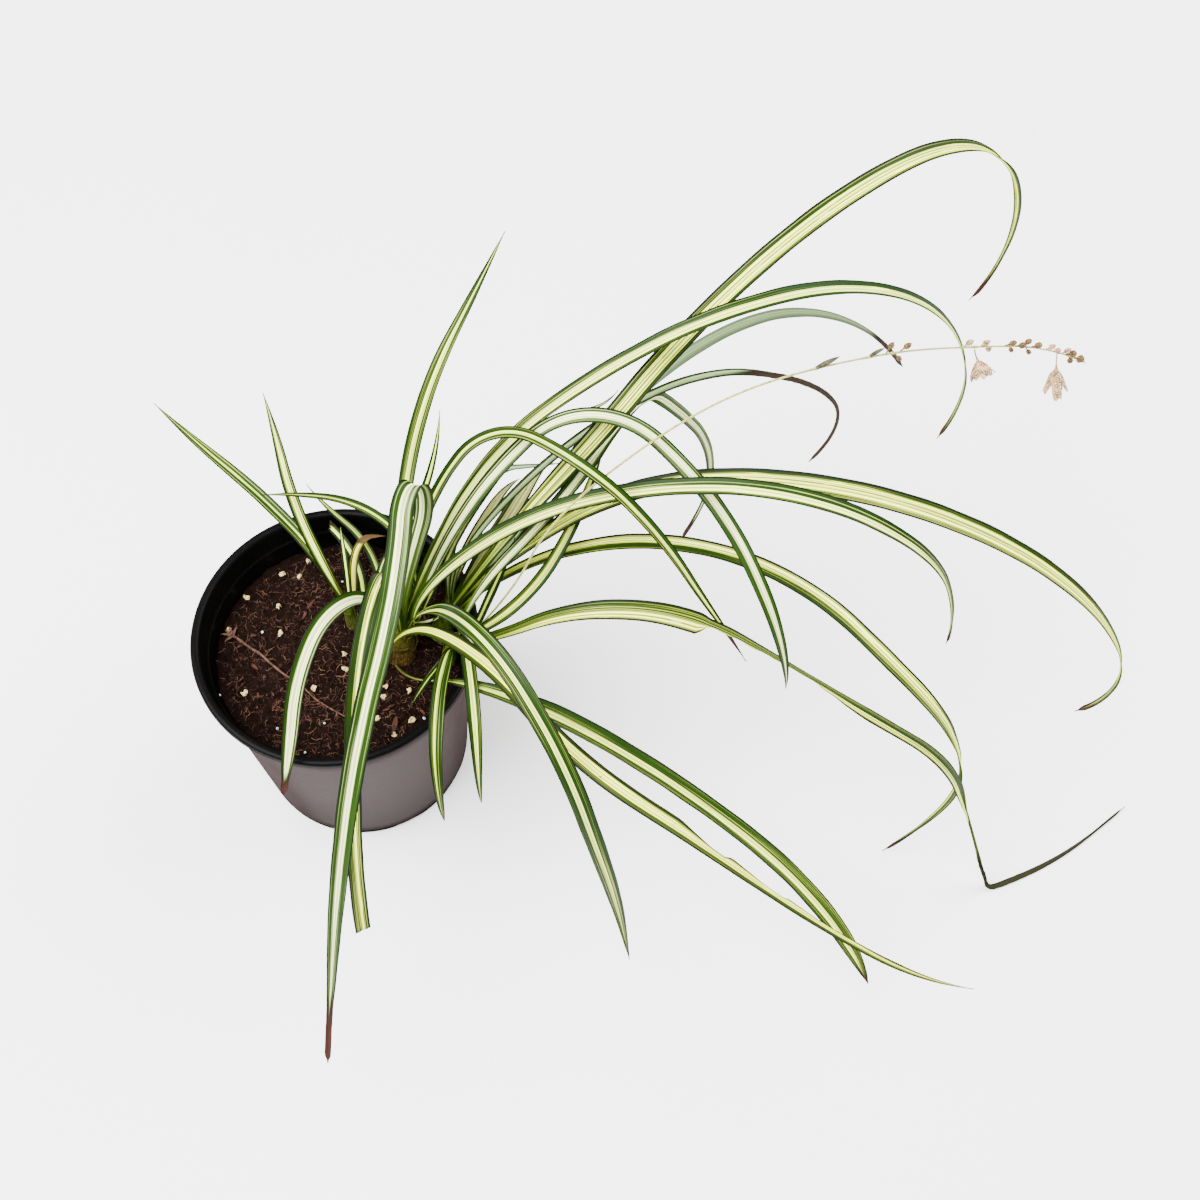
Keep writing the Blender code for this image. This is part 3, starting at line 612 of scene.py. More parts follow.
class Solid:
    """Gathers closed shells in millimetres and turns them into one finished object."""

    def __init__(self, name: str) -> None:
        """Start with nothing in it."""
        self.name = name
        self.points: list[np.ndarray] = []
        self.faces: list[tuple[int, ...]] = []
        self.values: dict[str, list[np.ndarray]] = {}
        self.count = 0

    def add(self, points: np.ndarray, faces: Iterable[Sequence[int]], **values: np.ndarray) -> None:
        """Add one shell, with values for each of its points."""
        start = self.count
        self.points.append(points)
        self.faces.extend(tuple(start + corner for corner in face) for face in faces)
        for key, value in values.items():
            self.values.setdefault(key, []).append(value)
        self.count += len(points)

    def ribbon(self, upper: np.ndarray, lower: np.ndarray, **values: np.ndarray) -> None:
        """Add a closed strip.

        Args:
            upper: Its upper surface, rings by points across by 3.
            lower: Its lower surface, of the same shape.
            values: Values for each point, upper surface first.
        """
        rings, wide, _ = upper.shape
        low, last = rings * wide, wide - 1
        faces = []
        for here in range(0, low - wide, wide):
            there = here + wide
            for near, far in zip(range(here, there - 1), range(there, there + last)):
                faces.append((near, near + 1, far + 1, far))
                faces.append((low + near, low + far, low + far + 1, low + near + 1))
            faces.append((here, there, low + there, low + here))
            faces.append((here + last, low + here + last, low + there + last, there + last))
        for side in range(last):
            end = low - wide + side
            faces.append((side, low + side, low + side + 1, side + 1))
            faces.append((end, end + 1, low + end + 1, low + end))
        self.add(np.concatenate([upper.reshape(-1, 3), lower.reshape(-1, 3)]), faces, **values)

    def tube(self, centres: np.ndarray, radii: np.ndarray, sides: int, lobes: float = 0.0,
             **values: np.ndarray) -> None:
        """Add a tube that closes in a point at each end.

        Args:
            centres: Points along it.
            radii: Its radius at each point.
            sides: Points round it.
            lobes: Depth of its lengthwise ridges, as a share of the radius.
            values: Values for each point: the first end, the rings and the last end.
        """
        along = unit(np.gradient(centres, axis=0))
        side = unit(np.cross(along, TUBE_GUIDE))
        other = np.cross(along, side)
        turn = np.arange(sides) * math.tau / sides
        ripple = 1.0 + lobes * np.cos(RIDGES * turn)
        spread = side[:, None, :] * (np.cos(turn) * ripple)[None, :, None] \
            + other[:, None, :] * (np.sin(turn) * ripple)[None, :, None]
        rings = centres[:, None, :] + spread * radii[:, None, None]
        first = centres[0] - along[0] * radii[0] * 0.5
        last = centres[-1] + along[-1] * radii[-1] * 0.5
        points = np.concatenate([first[None], rings.reshape(-1, 3), last[None]])
        self.add(points, turned_faces(len(centres), sides), **values)

    def finish(self, material: bpy.types.Material, sharp: float = ALL_SMOOTH) -> bpy.types.Object:
        """Make the object, kept inside the model's box.

        Args:
            material: What covers it.
            sharp: Edges turned by more than this many degrees stay sharp.

        Returns:
            The object, at the origin, with its place in its mesh.
        """
        points = np.concatenate(self.points) * MM
        points = np.clip(points, np.array(CAD_BOX[0]), np.array(CAD_BOX[1]))
        mesh = bpy.data.meshes.new(self.name)
        mesh.from_pydata(points.tolist(), [], self.faces)
        for key, parts in self.values.items():
            value = np.concatenate(parts).astype(np.float32)
            kind = "FLOAT_VECTOR" if value.ndim == 2 else "FLOAT"
            made = mesh.attributes.new(key, kind, "POINT")
            made.data.foreach_set("vector" if value.ndim == 2 else "value", value.ravel())
        return place_mesh(mesh, material, sharp)


def place_mesh(mesh: bpy.types.Mesh, material: bpy.types.Material,
               sharp: float = ALL_SMOOTH) -> bpy.types.Object:
    """Turn a mesh's faces outwards, smooth it and put it in the scene.

    Args:
        mesh: The mesh, in metres.
        material: What covers it.
        sharp: Edges turned by more than this many degrees stay sharp.

    Returns:
        Its object, at the origin.
    """
    shaper = bmesh.new()
    shaper.from_mesh(mesh)
    bmesh.ops.recalc_face_normals(shaper, faces=shaper.faces)
    shaper.to_mesh(mesh)
    shaper.free()
    mesh.shade_smooth()
    if sharp < ALL_SMOOTH:
        mesh.set_sharp_from_angle(angle=math.radians(sharp))
    mesh.materials.append(material)
    item = bpy.data.objects.new(mesh.name, mesh)
    bpy.context.collection.objects.link(item)
    return item


def adopt(piece: bpy.types.Object, slot: str, *nodes: str) -> bpy.types.Object:
    """Let a piece ride on the body and hide the nodes of the model that it replaces.

    Args:
        piece: The finished piece.
        slot: The material slot of the record, which is only logged.
        nodes: The nodes of the model that it replaces.

    Returns:
        The piece.
    """
    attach(piece, ROOT)
    if nodes:
        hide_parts(*nodes)
    LOG.info("%s: %d faces, %s", piece.name, len(piece.data.polygons), slot)
    return piece


# ---------------- Growth ----------------

SUBSTEPS = 6  # points for each step of the model's own solid
LEAF_STEP = 14.0
LEAST_STEPS = 3
SIDE_OFFSET = 1.0
TOP_OFFSET = 0.9
UP = np.array([0.0, 0.0, 1.0])


def aim(headings: Amount, pitches: Amount) -> np.ndarray:
    """Unit vectors of compass headings and pitches in degrees."""
    turn, tilt = np.radians(headings), np.radians(pitches)
    return np.stack([np.cos(tilt) * np.cos(turn), np.cos(tilt) * np.sin(turn), np.sin(tilt)], -1)


@dataclass
class Growth:
    """Places and frames along a leaf or a stalk."""

    points: np.ndarray
    along: np.ndarray
    across: np.ndarray
    up: np.ndarray
    shares: np.ndarray
    length: float

    def turned(self, degrees: np.ndarray) -> None:
        """Roll the frames about the growth direction."""
        cos, sin = np.cos(np.radians(degrees))[:, None], np.sin(np.radians(degrees))[:, None]
        self.across, self.up = self.across * cos - self.up * sin, self.up * cos + self.across * sin


def grow(start: np.ndarray, length: float, headings: Sequence[float], pitches: Sequence[float],
         steps: int) -> Growth:
    """Grow a stem from a start.

    Args:
        start: Where it starts.
        length: How long it is.
        headings: Compass headings at equal steps, in degrees.
        pitches: Pitches above the level, the same way.
        steps: How many steps the model's own solid takes.

    Returns:
        The path, with SUBSTEPS points for each step.
    """
    shares = np.linspace(0.0, 1.0, steps * SUBSTEPS + 1)
    heading = stations(headings, shares)
    along = aim(heading, stations(pitches, shares))
    moves = np.cumsum(along[:-1], axis=0) * (length / (len(shares) - 1))
    points = np.concatenate([start[None], start + moves])
    turn = np.radians(heading)
    across = np.stack([np.sin(turn), -np.cos(turn), np.zeros_like(turn)], -1)
    return Growth(points, along, across, np.cross(across, along), shares, length)


@dataclass(frozen=True)
class Crown:
    """A crown that leaves grow from.

    Attributes:
        foot: The foot of its axis, in the soil.
        tip: The tip of its axis.
        foot_radius: Its radius at the foot.
        tip_radius: Its radius at the tip.
        scales: How many sheaths overlap round it.
    """

    name: str
    foot: tuple[float, float, float]
    tip: tuple[float, float, float]
    foot_radius: float
    tip_radius: float
    scales: int

    def centre(self, rise: float) -> np.ndarray:
        """A place on the axis."""
        return np.array(self.foot) * (1 - rise) + np.array(self.tip) * rise

    def radius(self, rise: Amount) -> Amount:
        """The radius at a rise up the axis."""
        return self.foot_radius + (self.tip_radius - self.foot_radius) * rise

    def start(self, rise: float, side: float) -> np.ndarray:
        """Where a leaf starts: on the crown's side, or on its top when the rise is over 1.

        Args:
            rise: How far up the crown, as a share of its height.
            side: Compass heading from the axis, in degrees.

        Returns:
            The place.
        """
        if rise > 1:
            centre = np.array(self.tip) + UP * TOP_OFFSET
            reach = self.tip_radius * (2 - rise)
        else:
            centre = self.centre(rise)
            reach = self.radius(rise) + SIDE_OFFSET
        return centre + aim(side, 0.0) * reach


MAIN = Crown("crown_main", (30, -2, 113), (33, 4, 128), 7.5, 5.0, 8)
BACK = Crown("crown_back", (50, 9, 113), (55, 14, 134), 5.5, 3.5, 6)
SIDE = Crown("crown_side", (54.5, -5, 113), (58.5, -5, 136), 4.0, 2.6, 5)
OFFSHOOT = Crown("crown_offshoot", (6, 14, 113), (4, 18, 127), 4.5, 2.8, 5)
CROWNS = (MAIN, BACK, SIDE, OFFSHOOT)


# ---------------- Leaves ----------------

BLADE_POINTS = 13
NECK_SHARE = 0.34  # width at the base, as a share of the full width
NECK_END = 0.3
TAPER_START = 0.5
WAIST_LENGTH = 0.08
CHANNEL_DEPTHS = (0.10, 0.17, 0.17, 0.08)  # from base to tip, as shares of the width
MIDRIB_THICK = 0.75
MIDRIB_REACH = 0.20
MARGIN_THICK = 0.16
TIP_WIDTH = 0.4
BASE_RINGS = 4  # rings that lead the blade down into its crown
SEED_STEP = 1.37  # how far each leaf's pattern is moved


@dataclass(frozen=True)
class Tear:
    """A stretch where a blade's margins are torn away.

    Attributes:
        start: Where it starts, as a share of the length.
        end: Where it ends.
        side: The side that is torn most: -1 is the left and 1 the right.
        kept: How much of that side's half width is left.
        other: How much of the other side's is left.
    """

    start: float
    end: float
    side: int
    kept: float
    other: float


@dataclass(frozen=True)
class Leaf:
    """One leaf as it grows, and how it looks.

    Attributes:
        rise: How far up its crown it leaves, or on the crown's top when over 1.
        side: The side of the crown that it leaves on, as a compass heading.
        length: Length of its main part.
        width: Its greatest width.
        headings: Compass headings at equal steps along it.
        pitches: Pitches above the level, the same way.
        tone: Its kind of finish.
        cream: Middle and half width of its cream band, as shares of the half width.
        dry: Share of the length at which its tip is dry.
        spots: How strong its brown spots are.
        twists: Roll of the blade at equal steps, in degrees.
        cut: Whether its tip was cut off.
        waist: Where it narrows and to how much, if it does.
        tails: Further parts past a fold: length, headings and pitches.
        torn: Where its margins are torn.
        ragged: Share of the length and left half width kept, for a frayed left margin.
        stalked: Width of a stalk-like base, as a share of the full width.
        tip_width: Least width near its tip.
        taper: How late and how blunt its tip is.
        stop: Share of the path at which the blade ends.
    """

    name: str
    crown: Crown
    rise: float
    side: float
    length: float
    width: float
    headings: tuple[float, ...]
    pitches: tuple[float, ...]
    tone: Tone = Tone.FRESH
    cream: tuple[float, float] = (0.0, 0.3)
    dry: float = 0.965
    spots: float = 0.0
    twists: tuple[float, ...] = (0,)
    cut: bool = False
    waist: tuple[float, ...] = ()
    tails: tuple[tuple[float, tuple[float, ...], tuple[float, ...]], ...] = ()
    torn: tuple[Tear, ...] = ()
    ragged: tuple[tuple[float, float], ...] = ()
    stalked: float = 0.0
    tip_width: float = 0.0
    taper: float = 2.0
    stop: float = 1.0

    def path(self) -> Growth:
        """The leaf's growth path with its folded tails, and its twist put on it.

        Returns:
            The path, with shares that run over the whole leaf.
        """
        parts = ((self.length, self.headings, self.pitches), *self.tails)
        total = sum(part[0] for part in parts)
        place = self.crown.start(self.rise, self.side)
        grown: list[Growth] = []
        done = 0.0
        for length, headings, pitches in parts:
            piece = grow(place, length, headings, pitches, max(LEAST_STEPS, round(length / LEAF_STEP)))
            piece.shares = (done + piece.shares * length) / total
            grown.append(piece)
            place = piece.points[-1]
            done += length
        joined = [np.concatenate([getattr(piece, key)[min(number, 1):] for number, piece in enumerate(grown)])
                  for key in ("points", "along", "across", "up", "shares")]
        kept = joined[-1] <= self.stop
        path = Growth(*(part[kept] for part in joined), total)
        path.turned(stations(self.twists, path.shares))
        return path

    def widths(self, shares: np.ndarray) -> np.ndarray:
        """Full width along the leaf.

        Args:
            shares: Places along the leaf, from 0 to 1.

        Returns:
            The width at each share, in millimetres.
        """
        neck = NECK_SHARE + (1 - NECK_SHARE) * np.sin(math.pi / 2 * np.clip(shares / NECK_END, 0, 1))
        if self.stalked:
            neck = self.stalked + (1 - self.stalked) * ease(shares, 0.10, 0.36)
        width = self.width * neck
        if not self.cut:
            late = np.clip((shares / self.stop - TAPER_START) / (1 - TAPER_START), 0, 1)
            width = width * (1 - late ** self.taper)
            width = np.maximum(width, self.tip_width * ease(shares, 1.0, 0.985))
        if self.waist:
            start, kept = self.waist
            width = width * (1 - (1 - kept) * np.clip((shares - start) / WAIST_LENGTH, 0, 1))
        return np.maximum(width, TIP_WIDTH)

    def margins(self, shares: np.ndarray, rng: np.random.Generator) -> tuple[np.ndarray, np.ndarray]:
        """How far the left and the right margin reach, as shares of the half width.

        Args:
            shares: Shares of the length.
            rng: Random numbers of this leaf.

        Returns:
            Factors for the left and for the right half.
        """
        sides = []
        for side in (-1, 1):
            ripple = sum(rng.uniform(0.004, 0.016) * np.sin(shares * self.length / wave + rng.uniform(0, 6.3))
                         for wave in (21.0, 9.0, 4.3))
            factor = 1.0 + ripple
            for tear in self.torn:
                kept = tear.kept if side == tear.side else tear.other
                fray = 0.06 * np.sin(shares * self.length / 1.7) * (side == tear.side)
                lost = ease(shares, tear.start, tear.start + 0.012) * ease(shares, tear.end, tear.end - 0.08)
                factor = factor + (kept + fray - 1.0) * lost
            if self.ragged and side == -1:
                factor = factor * np.interp(shares, *zip(*self.ragged))
            sides.append(factor)
        return sides[0], sides[1]

    def build(self, seed: int) -> bpy.types.Object:
        """Loft the blade: a channelled, ribbed strip with a thick midrib and thin margins.

        Args:
            seed: Seed of its small waves.

        Returns:
            The finished leaf.
        """
        rng = np.random.default_rng(seed)
        path = self.path()
        shares = path.shares
        half = self.widths(shares) / 2
        left, right = self.margins(shares, rng)
        across = np.linspace(-1.0, 1.0, BLADE_POINTS)
        across = np.sign(across) * np.abs(across) ** 0.92
        factor = np.where(across < 0, left[:, None], right[:, None])
        wide = across * half[:, None] * factor
        withered = ease(shares, self.dry - 0.02, min(self.dry + 0.06, 1.0)) if self.dry < 0.99 else shares * 0
        hug = ease(shares, 0.10, 0.0) * 0.26 if self.rise <= 1 else shares * 0
        depth = stations(CHANNEL_DEPTHS, shares) + 0.22 * withered + hug
        channel = depth[:, None] * 2 * half[:, None] * np.abs(across * np.minimum(factor, 1.0)) ** 1.3
        along = shares * path.length
        waves = [sum(size * np.sin(along / length + rng.uniform(0, 6.3)) for size, length in lengths)
                 for lengths in (((0.10, 13.0), (0.07, 5.1)), ((0.10, 15.0), (0.07, 6.3)))]
        curl = np.where(across < 0, waves[0][:, None], waves[1][:, None]) * np.abs(across) ** 2
        crinkle = rng.normal(0, 0.16, (len(shares), BLADE_POINTS)) * withered[:, None]
        calmer = np.minimum(half[:, None] / 4, 1.0)
        rise = channel + curl * calmer + crinkle * np.minimum(half[:, None] / 2, 1.0)
        rib = np.minimum(MIDRIB_THICK, half * 0.8)[:, None] * np.exp(-(across / MIDRIB_REACH) ** 2)
        veins = 0.05 * np.cos(across * 9 * math.pi) * calmer
        thick = np.minimum(MARGIN_THICK, half)[:, None] + rib * 0.75 + np.abs(veins) * 0.3
        centre = path.points[:, None, :] + path.across[:, None, :] * wide[:, :, None]
        lift = path.up[:, None, :]
        upper = centre + lift * (rise + thick * 0.35 + veins * 0.4)[:, :, None]
        lower = centre + lift * (rise - thick * 0.65)[:, :, None]
        if self.cut:
            slant = rng.normal(0, 0.2, BLADE_POINTS) + across * 1.7
            for rows in (upper, lower):
                rows[-1] += path.along[-1] * slant[:, None]
        upper, lower = self.rooted(upper, path), self.rooted(lower, path)
        told = np.concatenate([np.zeros(BASE_RINGS), shares])
        flat = np.stack(np.broadcast_arrays(across, (told * path.length)[:, None], told[:, None]), -1)
        flat = flat.reshape(-1, 3)
        under = np.repeat((0.0, 1.0), len(flat))
        span = np.concatenate([np.full(BASE_RINGS, half[0]), half])
        blade = Solid(self.name + "_blade")
        blade.ribbon(upper, lower, blade=np.concatenate([flat, flat]), underside=under,
                     span=np.tile(np.repeat(span, BLADE_POINTS), 2))
        return blade.finish(self.tone.value.dress(self, seed * SEED_STEP))

    def rooted(self, rows: np.ndarray, path: Growth) -> np.ndarray:
        """Lead the base of the blade down into its crown.

        Args:
            rows: One surface of the blade, rings by points across by 3.
            path: The blade's growth path.

        Returns:
            The surface with BASE_RINGS more rings before it.
        """
        inward = self.crown.centre(min(self.rise, 1.0)) - path.points[0]
        inward[2] = -1.0 if self.rise > 1 else min(inward[2], 0.0)
        sink = unit(unit(inward) * 0.75 - path.along[0] * 0.65)
        extra = [rows[0] + sink * (1.5 * step) for step in range(BASE_RINGS, 0, -1)]
        return np.concatenate([np.stack(extra), rows])


LEAVES = (
    Leaf("leaf_main_back_left", MAIN, 0.6, 45, 121, 5.0,
         (65, 105, 150, 185, 190), (55, 40, 20, 20, 10), tone=Tone.DARK, cream=(0.05, 0.12)),
    Leaf("leaf_main_inner_short", MAIN, 0.1, 155, 60, 4.0,
         (120, 80, 55), (70, 45, -10), tone=Tone.DARK, cream=(0.0, 0.15)),
    Leaf("leaf_main_upright", MAIN, 1.7, 85, 218, 7.5,
         (80, 70, 65, 60, 70), (60, 80, 55, 25, 0), cream=(0.0, 0.26)),
    Leaf("leaf_main_upright_small", MAIN, 1.4, 145, 110, 4.5,
         (110, 60, 65, 85), (60, 35, 40, 45), tone=Tone.DARK, cream=(0.0, 0.3)),
    Leaf("leaf_main_crossing", MAIN, 0.8, 80, 308, 5.5,
         (80, 55, 10, -40, -25, -35, -55), (55, 60, 60, 20, -45, -55, -20), cream=(0.0, 0.24), dry=0.94,
         twists=(0, 10, 30, 30, 25, 20, 10), taper=4.0),
    Leaf("leaf_main_high_arch", MAIN, 1.35, 80, 481, 8.5,
         (55, 40, 15, 10, 25, 20, 5, 15), (55, 50, 40, 30, -20, -45, -75, -110), tone=Tone.BANDED,
         cream=(0.02, 0.38), dry=0.95, twists=(0, 0, 0, 0, 0, 10, 10, -45), tip_width=2.2),
    Leaf("leaf_main_middle_arch", MAIN, 0.9, 40, 386, 8.0,
         (40, 35, 20, -35, -60, -60, -120), (70, 55, 45, -25, -25, -75, -150), tone=Tone.CREAMY,
         cream=(-0.12, 0.36), taper=5.0, stop=0.865),
    Leaf("leaf_main_dry_tip", MAIN, 1.0, 5, 203, 4.0,
         (40, 40, 45, 45, 75), (60, 60, 30, -40, -35), tone=Tone.BANDED, cream=(0.0, 0.26), dry=0.9),
    Leaf("leaf_main_low_arch", MAIN, 0.75, -5, 401, 9.0,
         (15, 20, 0, -10, -10, 0, 5), (94, 38, 27, 13, -28, -70, -90), tone=Tone.BANDED, cream=(0.16, 0.36),
         dry=0.955, twists=(0, 0, 0, 0, 0, 20, 65), tip_width=2.0),
    Leaf("leaf_main_front_straight", MAIN, 0.05, -100, 325, 10.0,
         (-65, -25, -17, -20, -25, -35, -45, -53), (45, 45, -15, -30, -30, -20, -30, -55),
         tone=Tone.STALKED, cream=(0.12, 0.24), stalked=0.16, taper=9.0),
    Leaf("leaf_main_front_hanging", MAIN, 1.25, -70, 346, 9.0,
         (-40, -45, -55, -60, -45, -35), (75, 55, -20, -60, -80, -85), tone=Tone.BANDED, cream=(0.06, 0.19),
         taper=2.4),
    Leaf("leaf_main_front_torn", MAIN, 0.05, -135, 399, 8.0,
         (3, -40, -50, -25, -25, -20, 2), (83, 37, -7, -27, -31, -32, -30), tone=Tone.TORN,
         cream=(-0.08, 0.44), spots=0.9, twists=(0, 0, 5, 10, 15, 10, 5, 5, 5, 5, 5),
         ragged=((0.0, 1.0), (0.55, 1.0), (0.6, 0.3), (0.622, 0.25), (0.626, 0.62), (0.68, 0.2),
                 (0.708, 0.18), (0.711, 0.42), (0.755, 0.25), (0.8, 0.3), (0.88, 0.9))),
    Leaf("leaf_main_front_strap", MAIN, 1.2, 30, 122, 4.5,
         (-20, -46, -54, -53, -45), (40, 68, 22, -17, -30), tone=Tone.CREAMY, cream=(0.0, 0.45)),
    Leaf("leaf_main_front_long", MAIN, 1.7, -145, 422, 10.5,
         (-140, -120, -90, -110, -105, -105, -100), (95, 125, 0, -40, -50, -60, -55), tone=Tone.CREAMY,
         cream=(0.06, 0.24), dry=0.895, tip_width=3.2),
    Leaf("leaf_main_front_cut", MAIN, 1.35, -105, 266, 7.5,
         (-95, -95, -100, -95, -95, -85), (95, 85, -15, -50, -60, -60), tone=Tone.LINED, cream=(-0.1, 0.3),
         dry=1.1, cut=True),
    Leaf("leaf_main_front_left", MAIN, 0.95, 155, 154, 8.0,
         (-170, -140, -115, -100, -105), (90, 55, -20, -45, -45), tone=Tone.CREAMY, cream=(0.0, 0.46),
         dry=0.93, twists=(0, -10, -20, -20, -20), tip_width=3.4, taper=5.0),
    Leaf("leaf_back_longest", BACK, 1.2, -15, 525, 10.5,
         (20, 20, 45, 35, 35, 35, 40, 20), (60, 55, 25, 25, 0, -45, -75, -125), tone=Tone.LINED,
         cream=(0.05, 0.5), dry=0.945, tip_width=2.6),
    Leaf("leaf_back_twisted", BACK, 0.8, 5, 337, 6.0,
         (20, 45, 45, 30, 30, 15, 5), (60, 35, 20, 20, -25, -45, -65), tone=Tone.PALE, cream=(0.0, 0.45),
         dry=0.88, spots=0.3, twists=(0, 60, 140, 190, 200, 200, 230), tip_width=2.6),
    Leaf("leaf_back_slender", BACK, 0.75, 45, 324, 4.0,
         (50, 35, 30, 20, 10, 20, 25), (91, 44, 27, 15, -25, -65, -135), tone=Tone.PALE, cream=(0.0, 0.4),
         dry=0.62, twists=(0, 0, 15, 30, 80, 85, 160), tip_width=1.8),
    Leaf("leaf_back_short", BACK, 1.4, 85, 134, 4.5,
         (85, 65, 45, 40), (80, 20, -45, -40), tone=Tone.PALE, cream=(0.0, 0.4), spots=0.6),
    Leaf("leaf_back_spotted_small", BACK, 0.85, 90, 80, 5.5,
         (55, 55, 60, 55), (65, 40, 5, -40), tone=Tone.SPOTTED, cream=(0.0, 0.62), spots=1.0,
         twists=(0, 20, 30, 35)),
    Leaf("leaf_back_spotted", BACK, 1.0, 40, 97, 8.0,
         (45, 50, 65, 65), (40, 35, -5, -50), tone=Tone.SPOTTED, cream=(0.12, 0.62), spots=1.0,
         twists=(0, 10, 20, 20)),
    Leaf("leaf_back_far_arch", BACK, 1.0, -5, 469, 10.0,
         (10, 15, -5, -15, -15, -15, -20), (60, 35, 10, -5, -35, -65, -120), tone=Tone.LINED,
         cream=(-0.05, 0.54), dry=0.95, twists=(0, 0, 10, 15, 10, 0, -50), tip_width=2.8),
    Leaf("leaf_back_curled", BACK, 0.6, 5, 439, 8.5,
         (18, 5, -20, -45, -20, 15, 20), (57, 18, 5, -10, -65, -90, -140), tone=Tone.LINED,
         cream=(-0.36, 0.36), dry=0.95, tip_width=1.8),
    Leaf("leaf_side_hooked", SIDE, 1.0, 30, 372, 7.0,
         (25, 30, 55, 55, 40, 20, 30), (80, 40, 15, -60, -65, -90, -120), tone=Tone.CREAMY,
         cream=(0.0, 0.34), dry=0.93, twists=(0, 0, 0, -75, -90, -75, -45), tip_width=2.4),
    Leaf("leaf_side_kinked", SIDE, 0.7, -30, 402, 10.5,
         (-20, 0, -5, -20, -25, -15, -25, -30, -25), (50, 40, 5, -20, -20, -35, -70, -70, -70),
         tone=Tone.KINKED, cream=(0.46, 0.36), dry=0.74, twists=(0, 0, 25, 55, 60, 60, 140, 140, 180, 180),
         waist=(0.3, 0.62), tails=((6, (-25, 18), (-70, 0)), (88, (18, 24, 32, 38, 38), (0, 0, 1, 0, 0))),
         torn=(Tear(0.27, 0.46, 1, 0.05, 0.75),), tip_width=2.0),
    Leaf("leaf_side_hanging", SIDE, 0.7, -85, 155, 7.0,
         (-90, -95, -90, -80, -65), (70, 25, -30, -90, -120), tone=Tone.DARK, cream=(0.2, 0.16), dry=0.8,
         taper=1.3, stop=0.855),
    Leaf("leaf_side_hanging_outer", SIDE, 0.8, -50, 134, 6.5,
         (-55, -80, -85, -90, -85), (70, 30, -30, -75, -115), cream=(0.0, 0.32), dry=0.92, taper=1.3,
         stop=0.93),
    Leaf("leaf_side_short", SIDE, 0.4, -90, 60, 4.0,
         (-90, -100, -115, -120), (70, 55, 25, -20), tone=Tone.DARK, cream=(0.0, 0.1),
         twists=(-50, -40, -20, -20), taper=3.0),
    Leaf("leaf_side_upright_small", SIDE, 0.85, -5, 65, 4.5,
         (10, 45, 55, 70), (50, 60, 45, 25), tone=Tone.DARK, cream=(-0.1, 0.22)),
    Leaf("leaf_side_upright", SIDE, 1.0, -25, 134, 6.0,
         (-15, 25, 50, 65, 70), (55, 35, 35, 30, 35), tone=Tone.DARK, cream=(0.0, 0.34),
         twists=(10, 20, 20, 15, 10)),
    Leaf("leaf_offshoot_left", OFFSHOOT, 0.6, 125, 140, 6.5,
         (125, 135, 145, 140), (65, 10, 20, 20), tone=Tone.DARK, cream=(0.05, 0.13)),
    Leaf("leaf_offshoot_back", OFFSHOOT, 0.9, 125, 111, 6.0,
         (135, 120, 105, 110), (65, 40, 30, 25), cream=(0.0, 0.36), dry=0.95),
    Leaf("leaf_offshoot_thin", OFFSHOOT, 0.05, 10, 84, 4.0,
         (40, 110, 145, 135), (40, 15, 20, 30), tone=Tone.DARK, cream=(0.0, 0.12)),
    Leaf("leaf_offshoot_cut", OFFSHOOT, 0.05, 40, 52, 4.5,
         (70, 115, 140), (60, 25, 5), cream=(0.0, 0.35), cut=True),
    Leaf("leaf_offshoot_slim", OFFSHOOT, 1.2, 50, 39, 3.0,
         (85, 95, 100, 100), (70, 50, 25, -5), tone=Tone.DARK, cream=(0.0, 0.25)),
    Leaf("leaf_offshoot_dry_tip", OFFSHOOT, 0.8, 40, 53, 4.5,
         (85, 90, 80, 50, 25), (75, 40, -5, -40, -40), tone=Tone.DRYING, cream=(0.0, 0.35), dry=0.62),
)


# ---------------- Pot ----------------


